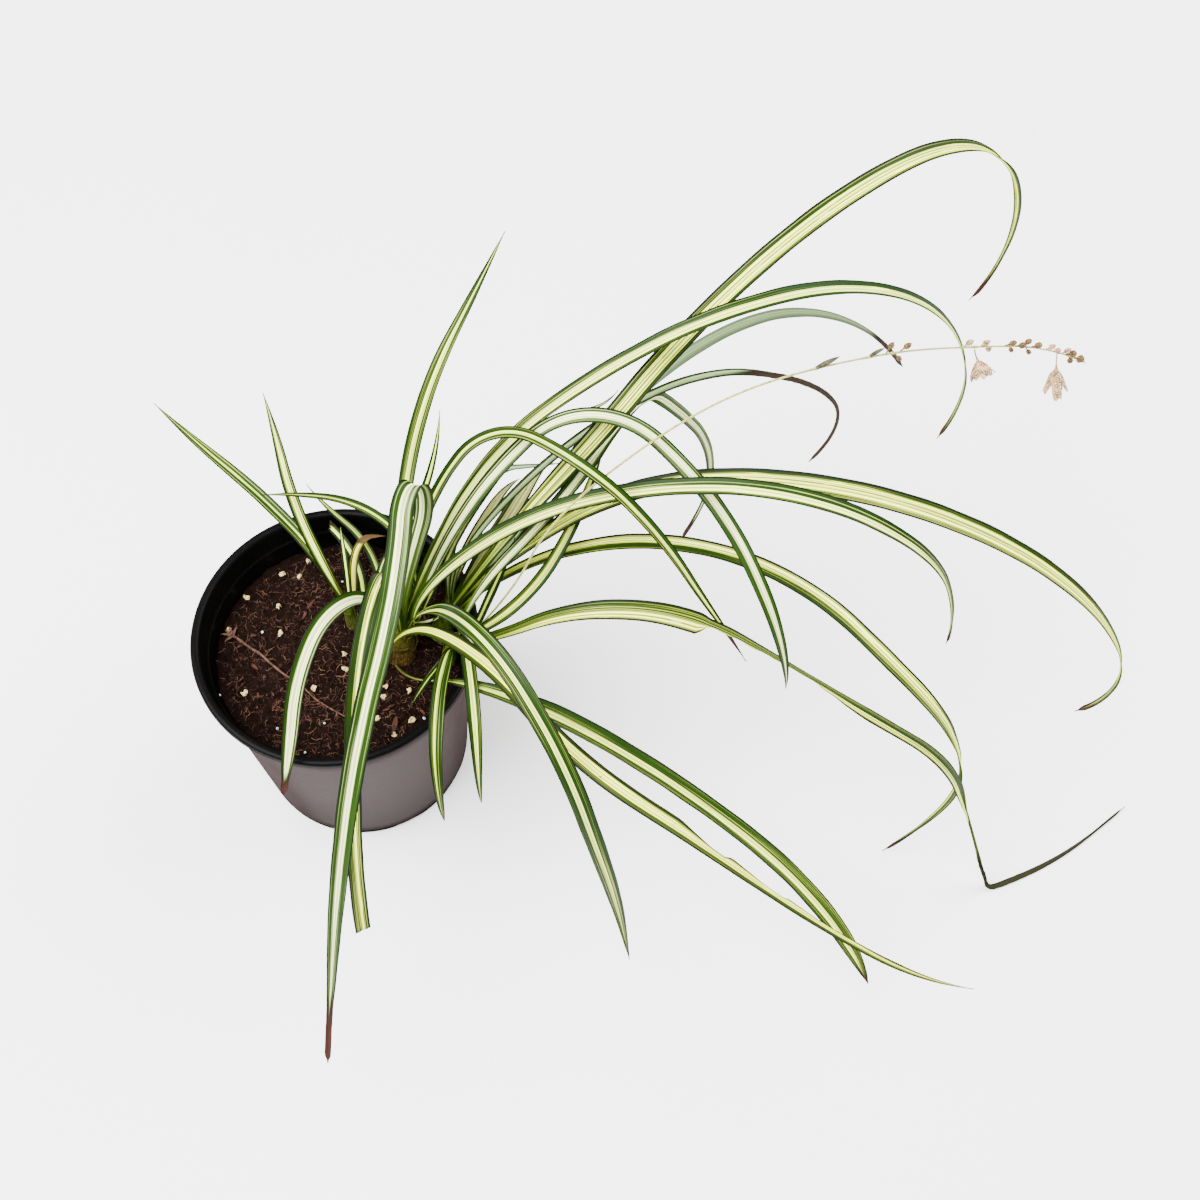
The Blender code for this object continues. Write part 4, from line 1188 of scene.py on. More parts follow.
@dataclass
class Pot:
    """A thin moulded nursery pot with a black lip and lining and a paler outer wall.

    Its foot ring is notched, and a ring of holes round a raised pad drains its floor.
    """

    height: float = 132.0
    rim_radius: float = 70.0
    base_radius: float = 55.5
    wall: float = 1.6
    floor: float = 2.4
    lip_depth: float = 4.5
    lip_width: float = 3.2
    shoulder_drop: float = 13.0
    shoulder_step: float = 1.1
    foot_height: float = 3.0
    foot_width: float = 6.0
    notches: int = 10
    notch_width: float = 16.0
    notch_height: float = 2.1
    pad_radius: float = 24.0
    drains: int = 8
    drain_radius: float = 4.0
    drain_circle: float = 37.0
    drain_sides: int = 28
    segments: int = 200
    sharp_edge: float = 38.0

    @property
    def lean(self) -> float:
        """How fast the wall's radius grows with height."""
        return (self.rim_radius - self.lip_width - self.base_radius) / self.height

    @property
    def shoulder(self) -> float:
        """Height at which the wall steps out under the lip."""
        return self.height - self.shoulder_drop

    def wall_radius(self, height: float) -> float:
        """Outer radius of the plain wall."""
        return self.base_radius + self.lean * height

    def outline(self) -> list[tuple[float, float, float]]:
        """Half section from the underside's middle, up the outside and down the inside.

        Returns:
            Radius, height and 1 for the pale outer wall or 0 for black, for each corner.
        """
        shoulder, high, rim = self.shoulder, self.height, self.rim_radius
        top, under, inner = rim - self.lip_width, high - self.lip_depth, self.foot_height + self.floor
        base, foot, pad = self.base_radius, self.base_radius - self.foot_width, self.pad_radius
        bulge, lining = self.wall_radius(shoulder), self.wall_radius(shoulder) - self.wall
        corner = self.wall_radius(inner) - self.wall
        outside = [(0.0, 0.2, 0), (pad - 1.0, 0.0, 0), (pad + 1.0, self.foot_height, 0),
                   (foot, self.foot_height, 0), (foot + 1.0, 0.0, 0), (base - 1.2, 0.0, 0),
                   (base - 0.3, 0.4, 0), (base, 1.3, 0)]
        for level in (2.6, 3.0, 12.0, 30.0, 50.0, 70.0, 90.0, 108.0):
            dent = 0.25 if level < self.foot_height else 0.0
            outside.append((self.wall_radius(level) - dent - self.shoulder_step * level / shoulder, level, 1))
        outside += [(bulge - self.shoulder_step, shoulder - 0.6, 1), (bulge - 0.5, shoulder + 0.2, 1),
                    (bulge, shoulder + 1.2, 1), (top, under - 0.8, 1), (top + 0.5, under - 0.2, 1)]
        lip = [(top + 0.9, under, 0), (rim - 1.0, under, 0), (rim - 0.3, under + 0.3, 0),
               (rim, under + 1.0, 0), (rim, high - 1.6, 0), (rim - 0.3, high - 0.7, 0),
               (rim - 1.0, high - 0.2, 0), (rim - 2.0, high, 0), (top - 0.3, high - 0.2, 0),
               (top - 1.0, high - 0.8, 0), (top - self.wall, high - 2.2, 0)]
        inside = [(lining, shoulder + 2.0, 0), (lining - 0.3, shoulder + 1.2, 0),
                  (lining - self.shoulder_step, shoulder + 0.5, 0)]
        for level in (100.0, 60.0, 20.0):
            step = self.shoulder_step * level / shoulder
            inside.append((self.wall_radius(level) - self.wall - step, level, 0))
        inside += [(corner - 1.2, inner + 0.4, 0), (corner - 3.0, inner, 0), (0.0, inner, 0)]
        return outside + lip + inside

    def lifted(self, turn: float, height: float, radius: float) -> float:
        """Lift the foot ring's lower edge where it is notched.

        Args:
            turn: Where it is round the pot, in radians.
            height: Its height before it is lifted.
            radius: Its distance from the axis.

        Returns:
            Its height.
        """
        if radius < self.base_radius - self.foot_width - 0.5 or height > self.notch_height:
            return height
        pitch = math.tau / self.notches
        offset = (turn / pitch - 0.25 + 0.5) % 1.0 - 0.5
        reach = abs(offset) * pitch * self.base_radius
        share = float(ease(reach, self.notch_width / 2, self.notch_width / 2 - 3.0))
        return height + (self.notch_height - height) * share

    def build(self) -> bpy.types.Object:
        """Turn the outline, notch the foot and cut the drainage holes.

        Returns:
            The pot.
        """
        outline = self.outline()
        points = [(0.0, 0.0, outline[0][1])]
        for radius, height, _ in outline[1:-1]:
            for index in range(self.segments):
                turn = math.tau * index / self.segments
                level = self.lifted(turn, height, radius)
                points.append((radius * math.cos(turn), radius * math.sin(turn), level))
        points.append((0.0, 0.0, outline[-1][1]))
        rings = outline[1:-1]
        mesh = bpy.data.meshes.new("pot_shell")
        mesh.from_pydata((np.array(points) * MM).tolist(), [], turned_faces(len(rings), self.segments))
        bands = [float(low[2] and high[2]) for low, high in zip(rings, rings[1:])]
        zone = mesh.attributes.new("outer_wall", "FLOAT", "FACE")
        zone.data.foreach_set("value", [0.0, *bands, 0.0] * self.segments)
        pot = place_mesh(mesh, PotFinish().dress())
        self.drill(pot)
        pot.data.set_sharp_from_angle(angle=math.radians(self.sharp_edge))
        return pot

    def drill(self, pot: bpy.types.Object) -> None:
        """Cut the ring of drainage holes through the floor.

        Args:
            pot: The turned pot. Its mesh is replaced.
        """
        cutter = Solid("drain_cutters")
        for index in range(self.drains):
            turn = math.tau * (index + 0.5) / self.drains
            middle = np.array([math.cos(turn), math.sin(turn), 0.0]) * self.drain_circle
            low, high = self.foot_height - 2.0, self.foot_height + self.floor + 2.0
            ends = np.array([middle + UP * low, middle + UP * high])
            cutter.tube(ends, np.full(2, self.drain_radius), self.drain_sides)
        tool = cutter.finish(bpy.data.materials.new("cutter"))
        cut = pot.modifiers.new("drains", "BOOLEAN")
        cut.operation, cut.solver, cut.object = "DIFFERENCE", "EXACT", tool
        pot.data = evaluated(pot)
        bpy.data.objects.remove(tool, do_unlink=True)


# ---------------- Soil ----------------


SOIL_LEVEL = 108.5
MOUND_RISE = 4.2
MOUND_REACH = 16.0
BUMP_RISE = 0.9
PAD_LEVEL = 112.7


def soil_height(x: Amount, y: Amount) -> Amount:
    """Height of the soil: a soft mound under the crowns, small bumps elsewhere, flat under each crown.

    Args:
        x: Places from the pot's axis, in millimetres.
        y: The same, the other way.

    Returns:
        The heights.
    """
    mound = np.zeros_like(x)
    pad = np.zeros_like(x)
    for crown in CROWNS:
        reach = np.hypot(x - crown.foot[0], y - crown.foot[1]) - crown.foot_radius
        mound = np.maximum(mound, np.exp(-(np.maximum(reach, 0.0) / MOUND_REACH) ** 2))
        pad = np.maximum(pad, np.clip(1.0 - (reach - 1.5) / 4.0, 0.0, 1.0))
    bumps = (np.sin(x * 0.31 + 1.3) * np.cos(y * 0.27) + 0.6 * np.sin(x * 0.17 - y * 0.22 + 0.5)
             + 0.5 * np.sin(x * 0.53 + y * 0.49))
    natural = SOIL_LEVEL + MOUND_RISE * mound + BUMP_RISE * bumps * (1 - mound)
    return natural * (1 - pad) + PAD_LEVEL * pad


FULL_TURN = 6.28


class Tree(Wiring):
    """Builds a Geometry Nodes tree with named inputs."""

    def __init__(self, name: str, inputs: dict[str, tuple[str, object]]) -> None:
        """Make the tree, its sockets and its group nodes.

        Args:
            name: The tree's name.
            inputs: Input name to its kind and default value.
        """
        super().__init__(bpy.data.node_groups.new(name, "GeometryNodeTree"))
        self.tree.interface.new_socket("Geometry", in_out="INPUT", socket_type="NodeSocketGeometry")
        for label, (kind, value) in inputs.items():
            made = self.tree.interface.new_socket(label, in_out="INPUT", socket_type="NodeSocket" + kind)
            if value is not None:
                made.default_value = value
        self.tree.interface.new_socket("Geometry", in_out="OUTPUT", socket_type="NodeSocketGeometry")
        self.entry = self.node("NodeGroupInput")
        self.leave = self.node("NodeGroupOutput")

    def given(self, label: str) -> Socket:
        """One of the tree's inputs."""
        return self.entry.outputs[label]

    def random(self, low: Setting, high: Setting, seed: Setting, vector: bool = False) -> Socket:
        """A random number or vector for each point."""
        made = self.node("FunctionNodeRandomValue", data_type="FLOAT_VECTOR" if vector else "FLOAT")
        first = 0 if vector else 2
        self.put(made.inputs[first], low)
        self.put(made.inputs[first + 1], high)
        self.put(made.inputs["Seed"], seed)
        return made.outputs[0 if vector else 1]

    def strewn(self) -> tuple[Socket, Socket]:
        """Points spread over the surface with the tree's density and seed, and their turn."""
        made = self.feed(self.node("GeometryNodeDistributePointsOnFaces"), Mesh=self.given("Geometry"),
                         Density=self.given("Density"), Seed=self.given("Seed"))
        return made.outputs["Points"], made.outputs["Rotation"]

    def instances(self, points: Socket, shape: Socket, turn: Socket, scale: Socket) -> Socket:
        """Copies of a shape on points, made real."""
        made = self.feed(self.node("GeometryNodeInstanceOnPoints"), Points=points, Instance=shape,
                         Rotation=turn, Scale=scale)
        return self.feed(self.node("GeometryNodeRealizeInstances"), made.outputs[0]).outputs[0]

    def shaken(self, geometry: Socket, scale: float, amount: Setting) -> Socket:
        """Move every point by soft noise of its place."""
        place = self.node("GeometryNodeInputPosition").outputs[0]
        noise = self.feed(self.node("ShaderNodeTexNoise"), Vector=place, Scale=scale, Detail=1.0)
        middle = self.node("ShaderNodeVectorMath", operation="SUBTRACT")
        self.feed(middle, noise.outputs[1], (0.5, 0.5, 0.5))
        move = self.feed(self.node("GeometryNodeSetPosition"), Geometry=geometry,
                         Offset=self.scaled(middle.outputs[0], amount))
        return move.outputs[0]

    def close(self, geometry: Socket) -> bpy.types.NodeTree:
        """End the tree with the given material."""
        made = self.node("GeometryNodeSetMaterial")
        self.feed(made, Geometry=geometry, Material=self.given("Material"))
        self.feed(self.leave, made.outputs[0])
        return self.tree


def lump_tree(name: str, at_points: bool, subdivisions: int) -> bpy.types.NodeTree:
    """Uneven lumps, strewn over a surface or one on each point.

    Args:
        name: The tree's name.
        at_points: One lump on each point of the mesh, in place of strewing.
        subdivisions: Of each lump's ball.

    Returns:
        The tree.
    """
    even = (1.0, 1.0, 1.0)
    t = Tree(name, {"Density": ("Float", 1000.0), "Seed": ("Int", 1), "Low": ("Vector", even),
                    "High": ("Vector", even), "Grain": ("Float", 0.001), "Material": ("Material", None)})
    if at_points:
        points = t.feed(t.node("GeometryNodeMeshToPoints"), Mesh=t.given("Geometry")).outputs[0]
    else:
        points = t.strewn()[0]
    ball = t.feed(t.node("GeometryNodeMeshIcoSphere"), Radius=MM, Subdivisions=subdivisions)
    turn = t.random((0.0, 0.0, 0.0), (FULL_TURN, FULL_TURN, FULL_TURN), t.given("Seed"), vector=True)
    scale = t.random(t.given("Low"), t.given("High"), t.given("Seed"), vector=True)
    real = t.instances(points, ball.outputs[0], turn, scale)
    return t.close(t.shaken(real, 700.0 if at_points else 900.0, t.given("Grain")))


def fibre_tree() -> bpy.types.NodeTree:
    """Short curly fibres strewn over a surface.

    Returns:
        The tree.
    """
    t = Tree("strewn_fibres", {"Density": ("Float", 1000.0), "Seed": ("Int", 1), "Low": ("Float", 1.0),
                               "High": ("Float", 4.0), "Radius": ("Float", 0.0001), "Curl": ("Float", 0.004),
                               "Material": ("Material", None)})
    points, facing = t.strewn()
    line = t.node("GeometryNodeCurvePrimitiveLine")
    t.feed(line, Start=(-0.5 * MM, 0.0, 0.0), End=(0.5 * MM, 0.0, 0.0))
    fine = t.feed(t.node("GeometryNodeResampleCurve"), Curve=line.outputs[0], Count=7)
    turn = t.random((-0.35, -0.35, 0.0), (0.35, 0.35, FULL_TURN), t.given("Seed"), vector=True)
    scale = t.random(t.given("Low"), t.given("High"), t.given("Seed"))
    real = t.instances(points, fine.outputs[0], turn, t.vector(scale, scale, scale))
    curly = t.shaken(real, 420.0, t.given("Curl"))
    ring = t.feed(t.node("GeometryNodeCurvePrimitiveCircle"), Resolution=3, Radius=t.given("Radius"))
    tube = t.node("GeometryNodeCurveToMesh")
    t.feed(tube, Curve=curly, Profile_Curve=ring.outputs[0], Fill_Caps=True)
    return t.close(tube.outputs[0])


def evaluated(piece: bpy.types.Object) -> bpy.types.Mesh:
    """The plain mesh that an object's modifiers give, with the modifiers then taken off."""
    graph = bpy.context.evaluated_depsgraph_get()
    made = bpy.data.meshes.new_from_object(piece.evaluated_get(graph))
    piece.modifiers.clear()
    return made


def strew(name: str, surface: bpy.types.Mesh, tree: bpy.types.NodeTree, **values: object) -> bpy.types.Object:
    """Run a tree over a mesh and keep the result as a plain mesh.

    Args:
        name: The piece's name.
        surface: The mesh to start from.
        tree: The Geometry Nodes tree.
        values: Its inputs by name.

    Returns:
        The piece.
    """
    piece = bpy.data.objects.new(name, surface.copy())
    bpy.context.collection.objects.link(piece)
    modifier = piece.modifiers.new("strew", "NODES")
    modifier.node_group = tree
    for item in tree.interface.items_tree:
        if item.in_out == "INPUT" and item.name in values:
            modifier[item.identifier] = values[item.name]
    piece.data = evaluated(piece)
    piece.data.name = name
    piece.data.shade_smooth()
    return piece


def point_mesh(name: str, points: np.ndarray) -> bpy.types.Mesh:
    """A mesh of loose points in millimetres."""
    mesh = bpy.data.meshes.new(name)
    mesh.from_pydata((points * MM).tolist(), [], [])
    return mesh


@dataclass
class SoilBed:
    """Dark fibrous potting soil with crumbs, curly fibres, perlite and bark.

    Crumbs and fibres are counted for each square metre. Perlite and beads are placed by x, y and
    size, and the larger chips by x, y, heading, length and width.
    """

    foot: float = 5.7
    segments: int = 220
    rings: int = 84
    gap: float = 0.3
    sink: float = 0.35
    grain: float = 0.3025
    crumbs: float = 230000.0
    fibres: float = 200000.0
    small_chips: int = 70
    lifted: float = 0.45
    perlite: tuple[tuple[float, ...], ...] = (
        (-33.0, 25.5, 1.7), (-49.9, 30.6, 1.9), (-30.7, 9.9, 1.6), (-18.4, 2.4, 1.8), (-57.1, 12.6, 1.3),
        (2.6, -2.5, 1.0), (3.1, -9.6, 1.1), (20.6, -35.4, 1.3), (24.0, -20.1, 1.2), (-24.0, 42.9, 0.8),
        (22.9, -24.9, 1.1), (35.6, -21.9, 0.9), (29.5, -44.3, 0.9), (37.6, -36.6, 1.0), (-33.0, 45.0, 0.8),
        (-20.0, 52.0, 0.9), (-46.0, -22.0, 0.7), (-12.0, -20.0, 0.8))
    beads: tuple[tuple[float, ...], ...] = (
        (-5.1, -38.6, 0.8), (-13.5, -53.5, 0.8), (-40.3, 11.9, 0.8), (-57.4, -24.0, 0.6),
        (43.2, -35.4, 0.7), (-2.0, 40.0, 0.6), (20.0, 47.0, 0.7), (-28.0, -41.0, 0.6))
    chips: tuple[tuple[float, ...], ...] = (
        (-16.9, 26.9, 55.0, 6.5, 1.7), (-19.5, 20.2, 70.0, 4.5, 1.5), (29.3, -39.6, 80.0, 7.5, 3.0),
        (24.5, -31.2, 20.0, 4.0, 1.2), (-15.1, 54.0, 30.0, 6.0, 2.0), (-42.0, -8.0, 140.0, 4.5, 1.4),
        (12.0, -45.0, 10.0, 5.0, 1.3), (-8.0, 44.0, 95.0, 5.5, 1.8), (4.0, 55.0, 20.0, 7.0, 2.2),
        (-30.0, -30.0, 60.0, 4.0, 1.1), (48.0, -27.0, 120.0, 4.5, 1.5), (26.0, 38.0, 40.0, 6.0, 1.9))

    def radius(self, height: float) -> float:
        """Radius of the soil, just inside the wall."""
        pot = Pot()
        return pot.wall_radius(height) - pot.wall - pot.shoulder_step * height / pot.shoulder - self.gap

    def surface(self, x: Amount, y: Amount) -> Amount:
        """Height of the soil with its crumbly relief."""
        rough = (np.sin(x * 1.9 + 2.0 * np.sin(y * 1.1)) * np.cos(y * 2.3 + 1.7 * np.sin(x * 1.3))
                 + 0.7 * np.sin(x * 4.1 + 3.0 * np.sin(y * 2.9)) * np.cos(y * 3.7 + 2.0 * np.sin(x * 2.3))
                 + 0.5 * np.sin(x * 7.3 + 2.0 * np.cos(y * 5.9)) * np.cos(y * 8.1 + np.sin(x * 6.1)))
        return soil_height(x, y) - self.sink + self.grain * rough

    def grid(self) -> np.ndarray:
        """Rings of surface points from the wall to the middle."""
        reach = self.radius(107.0) * (1 - np.arange(self.rings) / self.rings) ** 0.93
        turn = np.arange(self.segments) * math.tau / self.segments
        x = reach[:, None] * np.cos(turn)[None, :]
        y = reach[:, None] * np.sin(turn)[None, :]
        return np.stack([x, y, self.surface(x, y)], -1)

    def build_body(self, material: bpy.types.Material) -> bpy.types.Object:
        """The closed body of soil, smooth below and crumbly on top.

        Args:
            material: What it is made of.

        Returns:
            The body.
        """
        turn = np.arange(self.segments) * math.tau / self.segments
        under = [np.stack([np.cos(turn) * self.radius(level), np.sin(turn) * self.radius(level),
                           np.full(self.segments, level)], -1) for level in (self.foot, 50.0, 100.0)]
        rings = np.concatenate([np.stack(under), self.grid()])
        centre = np.array([[0.0, 0.0, self.foot]])
        middle = np.array([[0.0, 0.0, float(self.surface(0.0, 0.0))]])
        points = np.concatenate([centre, rings.reshape(-1, 3), middle])
        body = Solid("soil_bed")
        body.add(points, turned_faces(len(rings), self.segments))
        return body.finish(material)

    def top_mesh(self) -> bpy.types.Mesh:
        """The open surface that crumbs and fibres are strewn over."""
        top = self.grid()[4:-2]
        sides = self.segments
        faces = [(low + side, low + (side + 1) % sides, low + sides + (side + 1) % sides, low + sides + side)
                 for low in range(0, (len(top) - 1) * sides, sides) for side in range(sides)]
        mesh = bpy.data.meshes.new("soil_top")
        mesh.from_pydata((top.reshape(-1, 3) * MM).tolist(), [], faces)
        return mesh

    def settled(self, spots: Sequence[Sequence[float]]) -> np.ndarray:
        """Points on the surface at x, y places, lifted by a share of each one's size."""
        x, y, size = np.array(spots, float).T
        return np.column_stack([x, y, soil_height(x, y) + size * self.lifted])

    def build_chips(self, material: bpy.types.Material) -> bpy.types.Object:
        """Split chips of bark: flat, tapered and ragged.

        Args:
            material: What they are made of.

        Returns:
            One object with all chips.
        """
        rng = np.random.default_rng(11)
        chips = Solid("bark_chips")
        more = [(*(rng.uniform(0.2, 1.0) ** 0.5 * 56 * np.array([math.cos(turn), math.sin(turn)])),
                 rng.uniform(0, 180), rng.uniform(2.0, 4.0), rng.uniform(0.6, 1.2))
                for turn in rng.uniform(0, math.tau, self.small_chips)]
        for x, y, heading, length, width in (*self.chips, *more):
            steps = np.linspace(-0.5, 0.5, 6)
            along = aim(heading, rng.uniform(-14, 14))
            across = np.array([along[1], -along[0], rng.uniform(-0.3, 0.3)])
            height = float(soil_height(x, y)) + 0.45
            centre = np.array([x, y, height]) + along * (steps * length)[:, None]
            shape = (1 - (2 * np.abs(steps)) ** 2.2 * 0.7) * width / 2 * rng.uniform(0.8, 1.2, 6)
            flat = spread(centre, across, shape, np.array([-1.0, -0.4, 0.5, 1.0]))
            upper = flat + UP * rng.uniform(0.25, 0.65, (6, 4))[:, :, None]
            lower = flat - UP * rng.uniform(0.1, 0.5, (6, 4))[:, :, None]
            chips.ribbon(upper, lower)
        return chips.finish(material, 35.0)

    def build(self) -> None:
        """Build and adopt every piece of the soil."""
        peat = GrainFinish("peat", "090503", "140a08", "2d1811", 420.0, light_share=0.40,
                           bump=0.0009, strength=0.9, specular=0.02)
        adopt(self.build_body(peat.dress()), "potting_soil", "soil")
        top = self.top_mesh()
        lumps = lump_tree("strewn_crumbs", False, 1)
        crumb = GrainFinish("peat_crumb", "090504", "190d08", "392017", 700.0, light_share=0.42,
                            bump=0.0005, specular=0.02)
        pieces = [strew("soil_crumbs", top, lumps, Density=self.crumbs, Seed=4, Low=(0.25, 0.22, 0.18),
                        High=(0.85, 0.65, 0.5), Grain=0.0009, Material=crumb.dress())]
        for name, seed, density, low, high, radius, dark, mid, light in (
                ("coir_fibres", 7, self.fibres, 2.0, 6.5, 0.095, "2b1913", "482e23", "6a4a35"),
                ("pale_fibres", 9, self.fibres * 0.16, 3.0, 8.0, 0.11, "4a3326", "74543d", "a27f59")):
            straw = GrainFinish(name, dark, mid, light, 260.0, roughness=0.7, bump=0.0001)
            pieces.append(strew(name, top, fibre_tree(), Density=density, Seed=seed, Low=low, High=high,
                                Radius=radius * MM, Curl=0.0052, Material=straw.dress()))
        granule = lump_tree("placed_granules", True, 3)
        white = GrainFinish("perlite", "7f6346", "cea66b", "f7f0a8", 900.0, light_share=0.5,
                            roughness=0.85, bump=0.0006, subsurface=0.1)
        bead = GrainFinish("pale_bead", "8fa398", "b7c8be", "dce6e0", 600.0, roughness=0.45,
                           bump=0.0001)
        for name, spots, finish, seed, wide, rough in (("perlite", self.perlite, white, 3, 1.25, 0.0034),
                                                       ("pale_beads", self.beads, bead, 5, 0.7, 0.0004)):
            points = point_mesh(name, self.settled(spots))
            pieces.append(strew(name, points, granule, Seed=seed, Low=(wide * 0.7, wide * 0.7, wide * 0.7),
                                High=(wide * 1.5, wide * 1.2, wide), Grain=rough, Material=finish.dress()))
        bark = GrainFinish("bark", "23140f", "3e2118", "69402d", 260.0, (1.0, 1.0, 2.0),
                           light_share=0.4, roughness=0.85)
        pieces.append(self.build_chips(bark.dress()))
        for piece in pieces:
            adopt(piece, "potting_soil")


# ---------------- Crowns ----------------


@dataclass
class Crowns:
    """Leaf sheaths that overlap round each crown."""

    arc_points: int = 11
    rings: int = 16
    thick: float = 0.45
    turn_step: float = 137.5
    half_arc: float = 105.0
    core_rings: int = 9
    core_sides: int = 28
    seed: int = 40

    def scale(self, solid: Solid, crown: Crown, index: int, bulk: float, rng: np.random.Generator) -> None:
        """Add one sheath: broad where it holds the crown, narrow and leaning out at its top.

        Args:
            solid: The crown's solid.
            crown: The crown.
            index: Which sheath it is, from the outermost.
            bulk: Size of the sheaths, as a share of the crown's.
            rng: Random numbers of this crown.
        """
        total = crown.scales
        turn = math.radians(self.turn_step * index) + rng.uniform(-0.2, 0.2)
        outer = 1.0 - 0.55 * index / total
        reach = 0.45 + 0.75 * index / total
        up = np.linspace(0.0, 1.0, self.rings)
        swing = np.radians(self.half_arc * (1 - ease(up, 0.25, 1.0) * 0.80))
        arc = np.linspace(-1.0, 1.0, self.arc_points)
        angle = turn + swing[:, None] * arc[None, :]
        radius = crown.radius(up * reach) * (0.72 + 0.36 * outer) * bulk
        radius = radius + ease(up, 0.7, 1.0) * rng.uniform(0.4, 1.3)
        rows = []
        for shift in (self.thick, 0.0):
            size = radius[:, None] + shift * (1 - np.abs(arc)[None, :] ** 3 * 0.6)
            centre = np.array([crown.centre(float(value)) for value in up * reach])
            x, y = centre[:, 0:1] + size * np.cos(angle), centre[:, 1:2] + size * np.sin(angle)
            rows.append(np.stack(np.broadcast_arrays(x, y, centre[:, 2:3] - 1.2 + 1.2 * up[:, None]), -1))
        rise = (up * reach * (crown.tip[2] - crown.foot[2]))[:, None]
        round_it = (angle - turn) * radius[:, None] + 31.0 * index
        laid = np.stack(np.broadcast_arrays(round_it, rise, 7.0 * index), -1).reshape(-1, 3)
        solid.ribbon(rows[0], rows[1], sheath=np.concatenate([laid, laid]))

    def build(self) -> None:
        """Build and adopt each crown."""
        finishes = {
            MAIN: ("191108", "3e2d13", "79632b", "434811"), BACK: ("2c2c10", "435411", "738b27", "3a5205"),
            SIDE: ("2c2e10", "4a5c14", "829837", "435e07"),
            OFFSHOOT: ("211a0c", "343814", "5b6b27", "2e4609")}
        for number, crown in enumerate(CROWNS):
            rng = np.random.default_rng(self.seed + number)
            bulk = 0.72 if crown is OFFSHOOT else 0.95
            solid = Solid(crown.name + "_sheath")
            core = np.linspace(0.0, 0.96, self.core_rings)
            radii = crown.radius(core) * 0.72 * bulk
            radii[-2:] *= (0.85, 0.5)
            centres = np.array([crown.centre(float(value)) for value in core])
            laid = np.zeros((self.core_rings * self.core_sides + 2, 3))
            laid[1:-1, 0] = np.tile(np.arange(self.core_sides) * 0.9, self.core_rings)
            laid[1:-1, 1] = np.repeat(core * (crown.tip[2] - crown.foot[2]), self.core_sides)
            solid.tube(centres, radii, self.core_sides, sheath=laid)
            for index in range(crown.scales):
                self.scale(solid, crown, index, bulk, rng)
            dark, mid, light, top = finishes[crown]
            finish = GrainFinish(solid.name, dark, mid, light, 1.5, (1.0, 0.05, 1.0), light_share=0.45,
                                 roughness=0.5, bump=0.0002, subsurface=0.05, specular=0.05, layout="sheath",
                                 tint=top)
            adopt(solid.finish(finish.dress(), 60.0), "crown_sheath", crown.name)


# ---------------- Flower stalk ----------------


@dataclass(frozen=True)
class Bract:
    """A dry scale, at a share of the stalk and leaning away from it."""

    name: str
    share: float
    lean: float
    length: float
    width: float


@dataclass(frozen=True)
class Bud:
    """A closed flower, at a share of the stalk, with its smaller neighbours in a cluster."""

    name: str
    share: float
    lean: float
    turn: float
    length: float
    radius: float
    cluster: int


@dataclass(frozen=True)
class Bloom:
    """An open flower, at a share of the stalk.

    Attributes:
        heading: Compass heading of its stem.
        pitch: Pitch of its stem.
        length: Length of its stem.
        reach: How far its petals reach out.
        lean: How far they lean forward.
        wither: How withered it is, from 0 to 1.
        buds: Place along the stalk and lean of each bud beside it.
    """

    name: str
    share: float
    heading: float
    pitch: float
    length: float
    reach: float
    lean: float
    wither: float
    buds: tuple[tuple[float, float], ...]


NEIGHBOURS = ((0, 1.0, 1.0), (150, 0.85, 0.85), (15, 1.1, 1.1), (-140, 0.8, 0.7))  # turn, radius and length


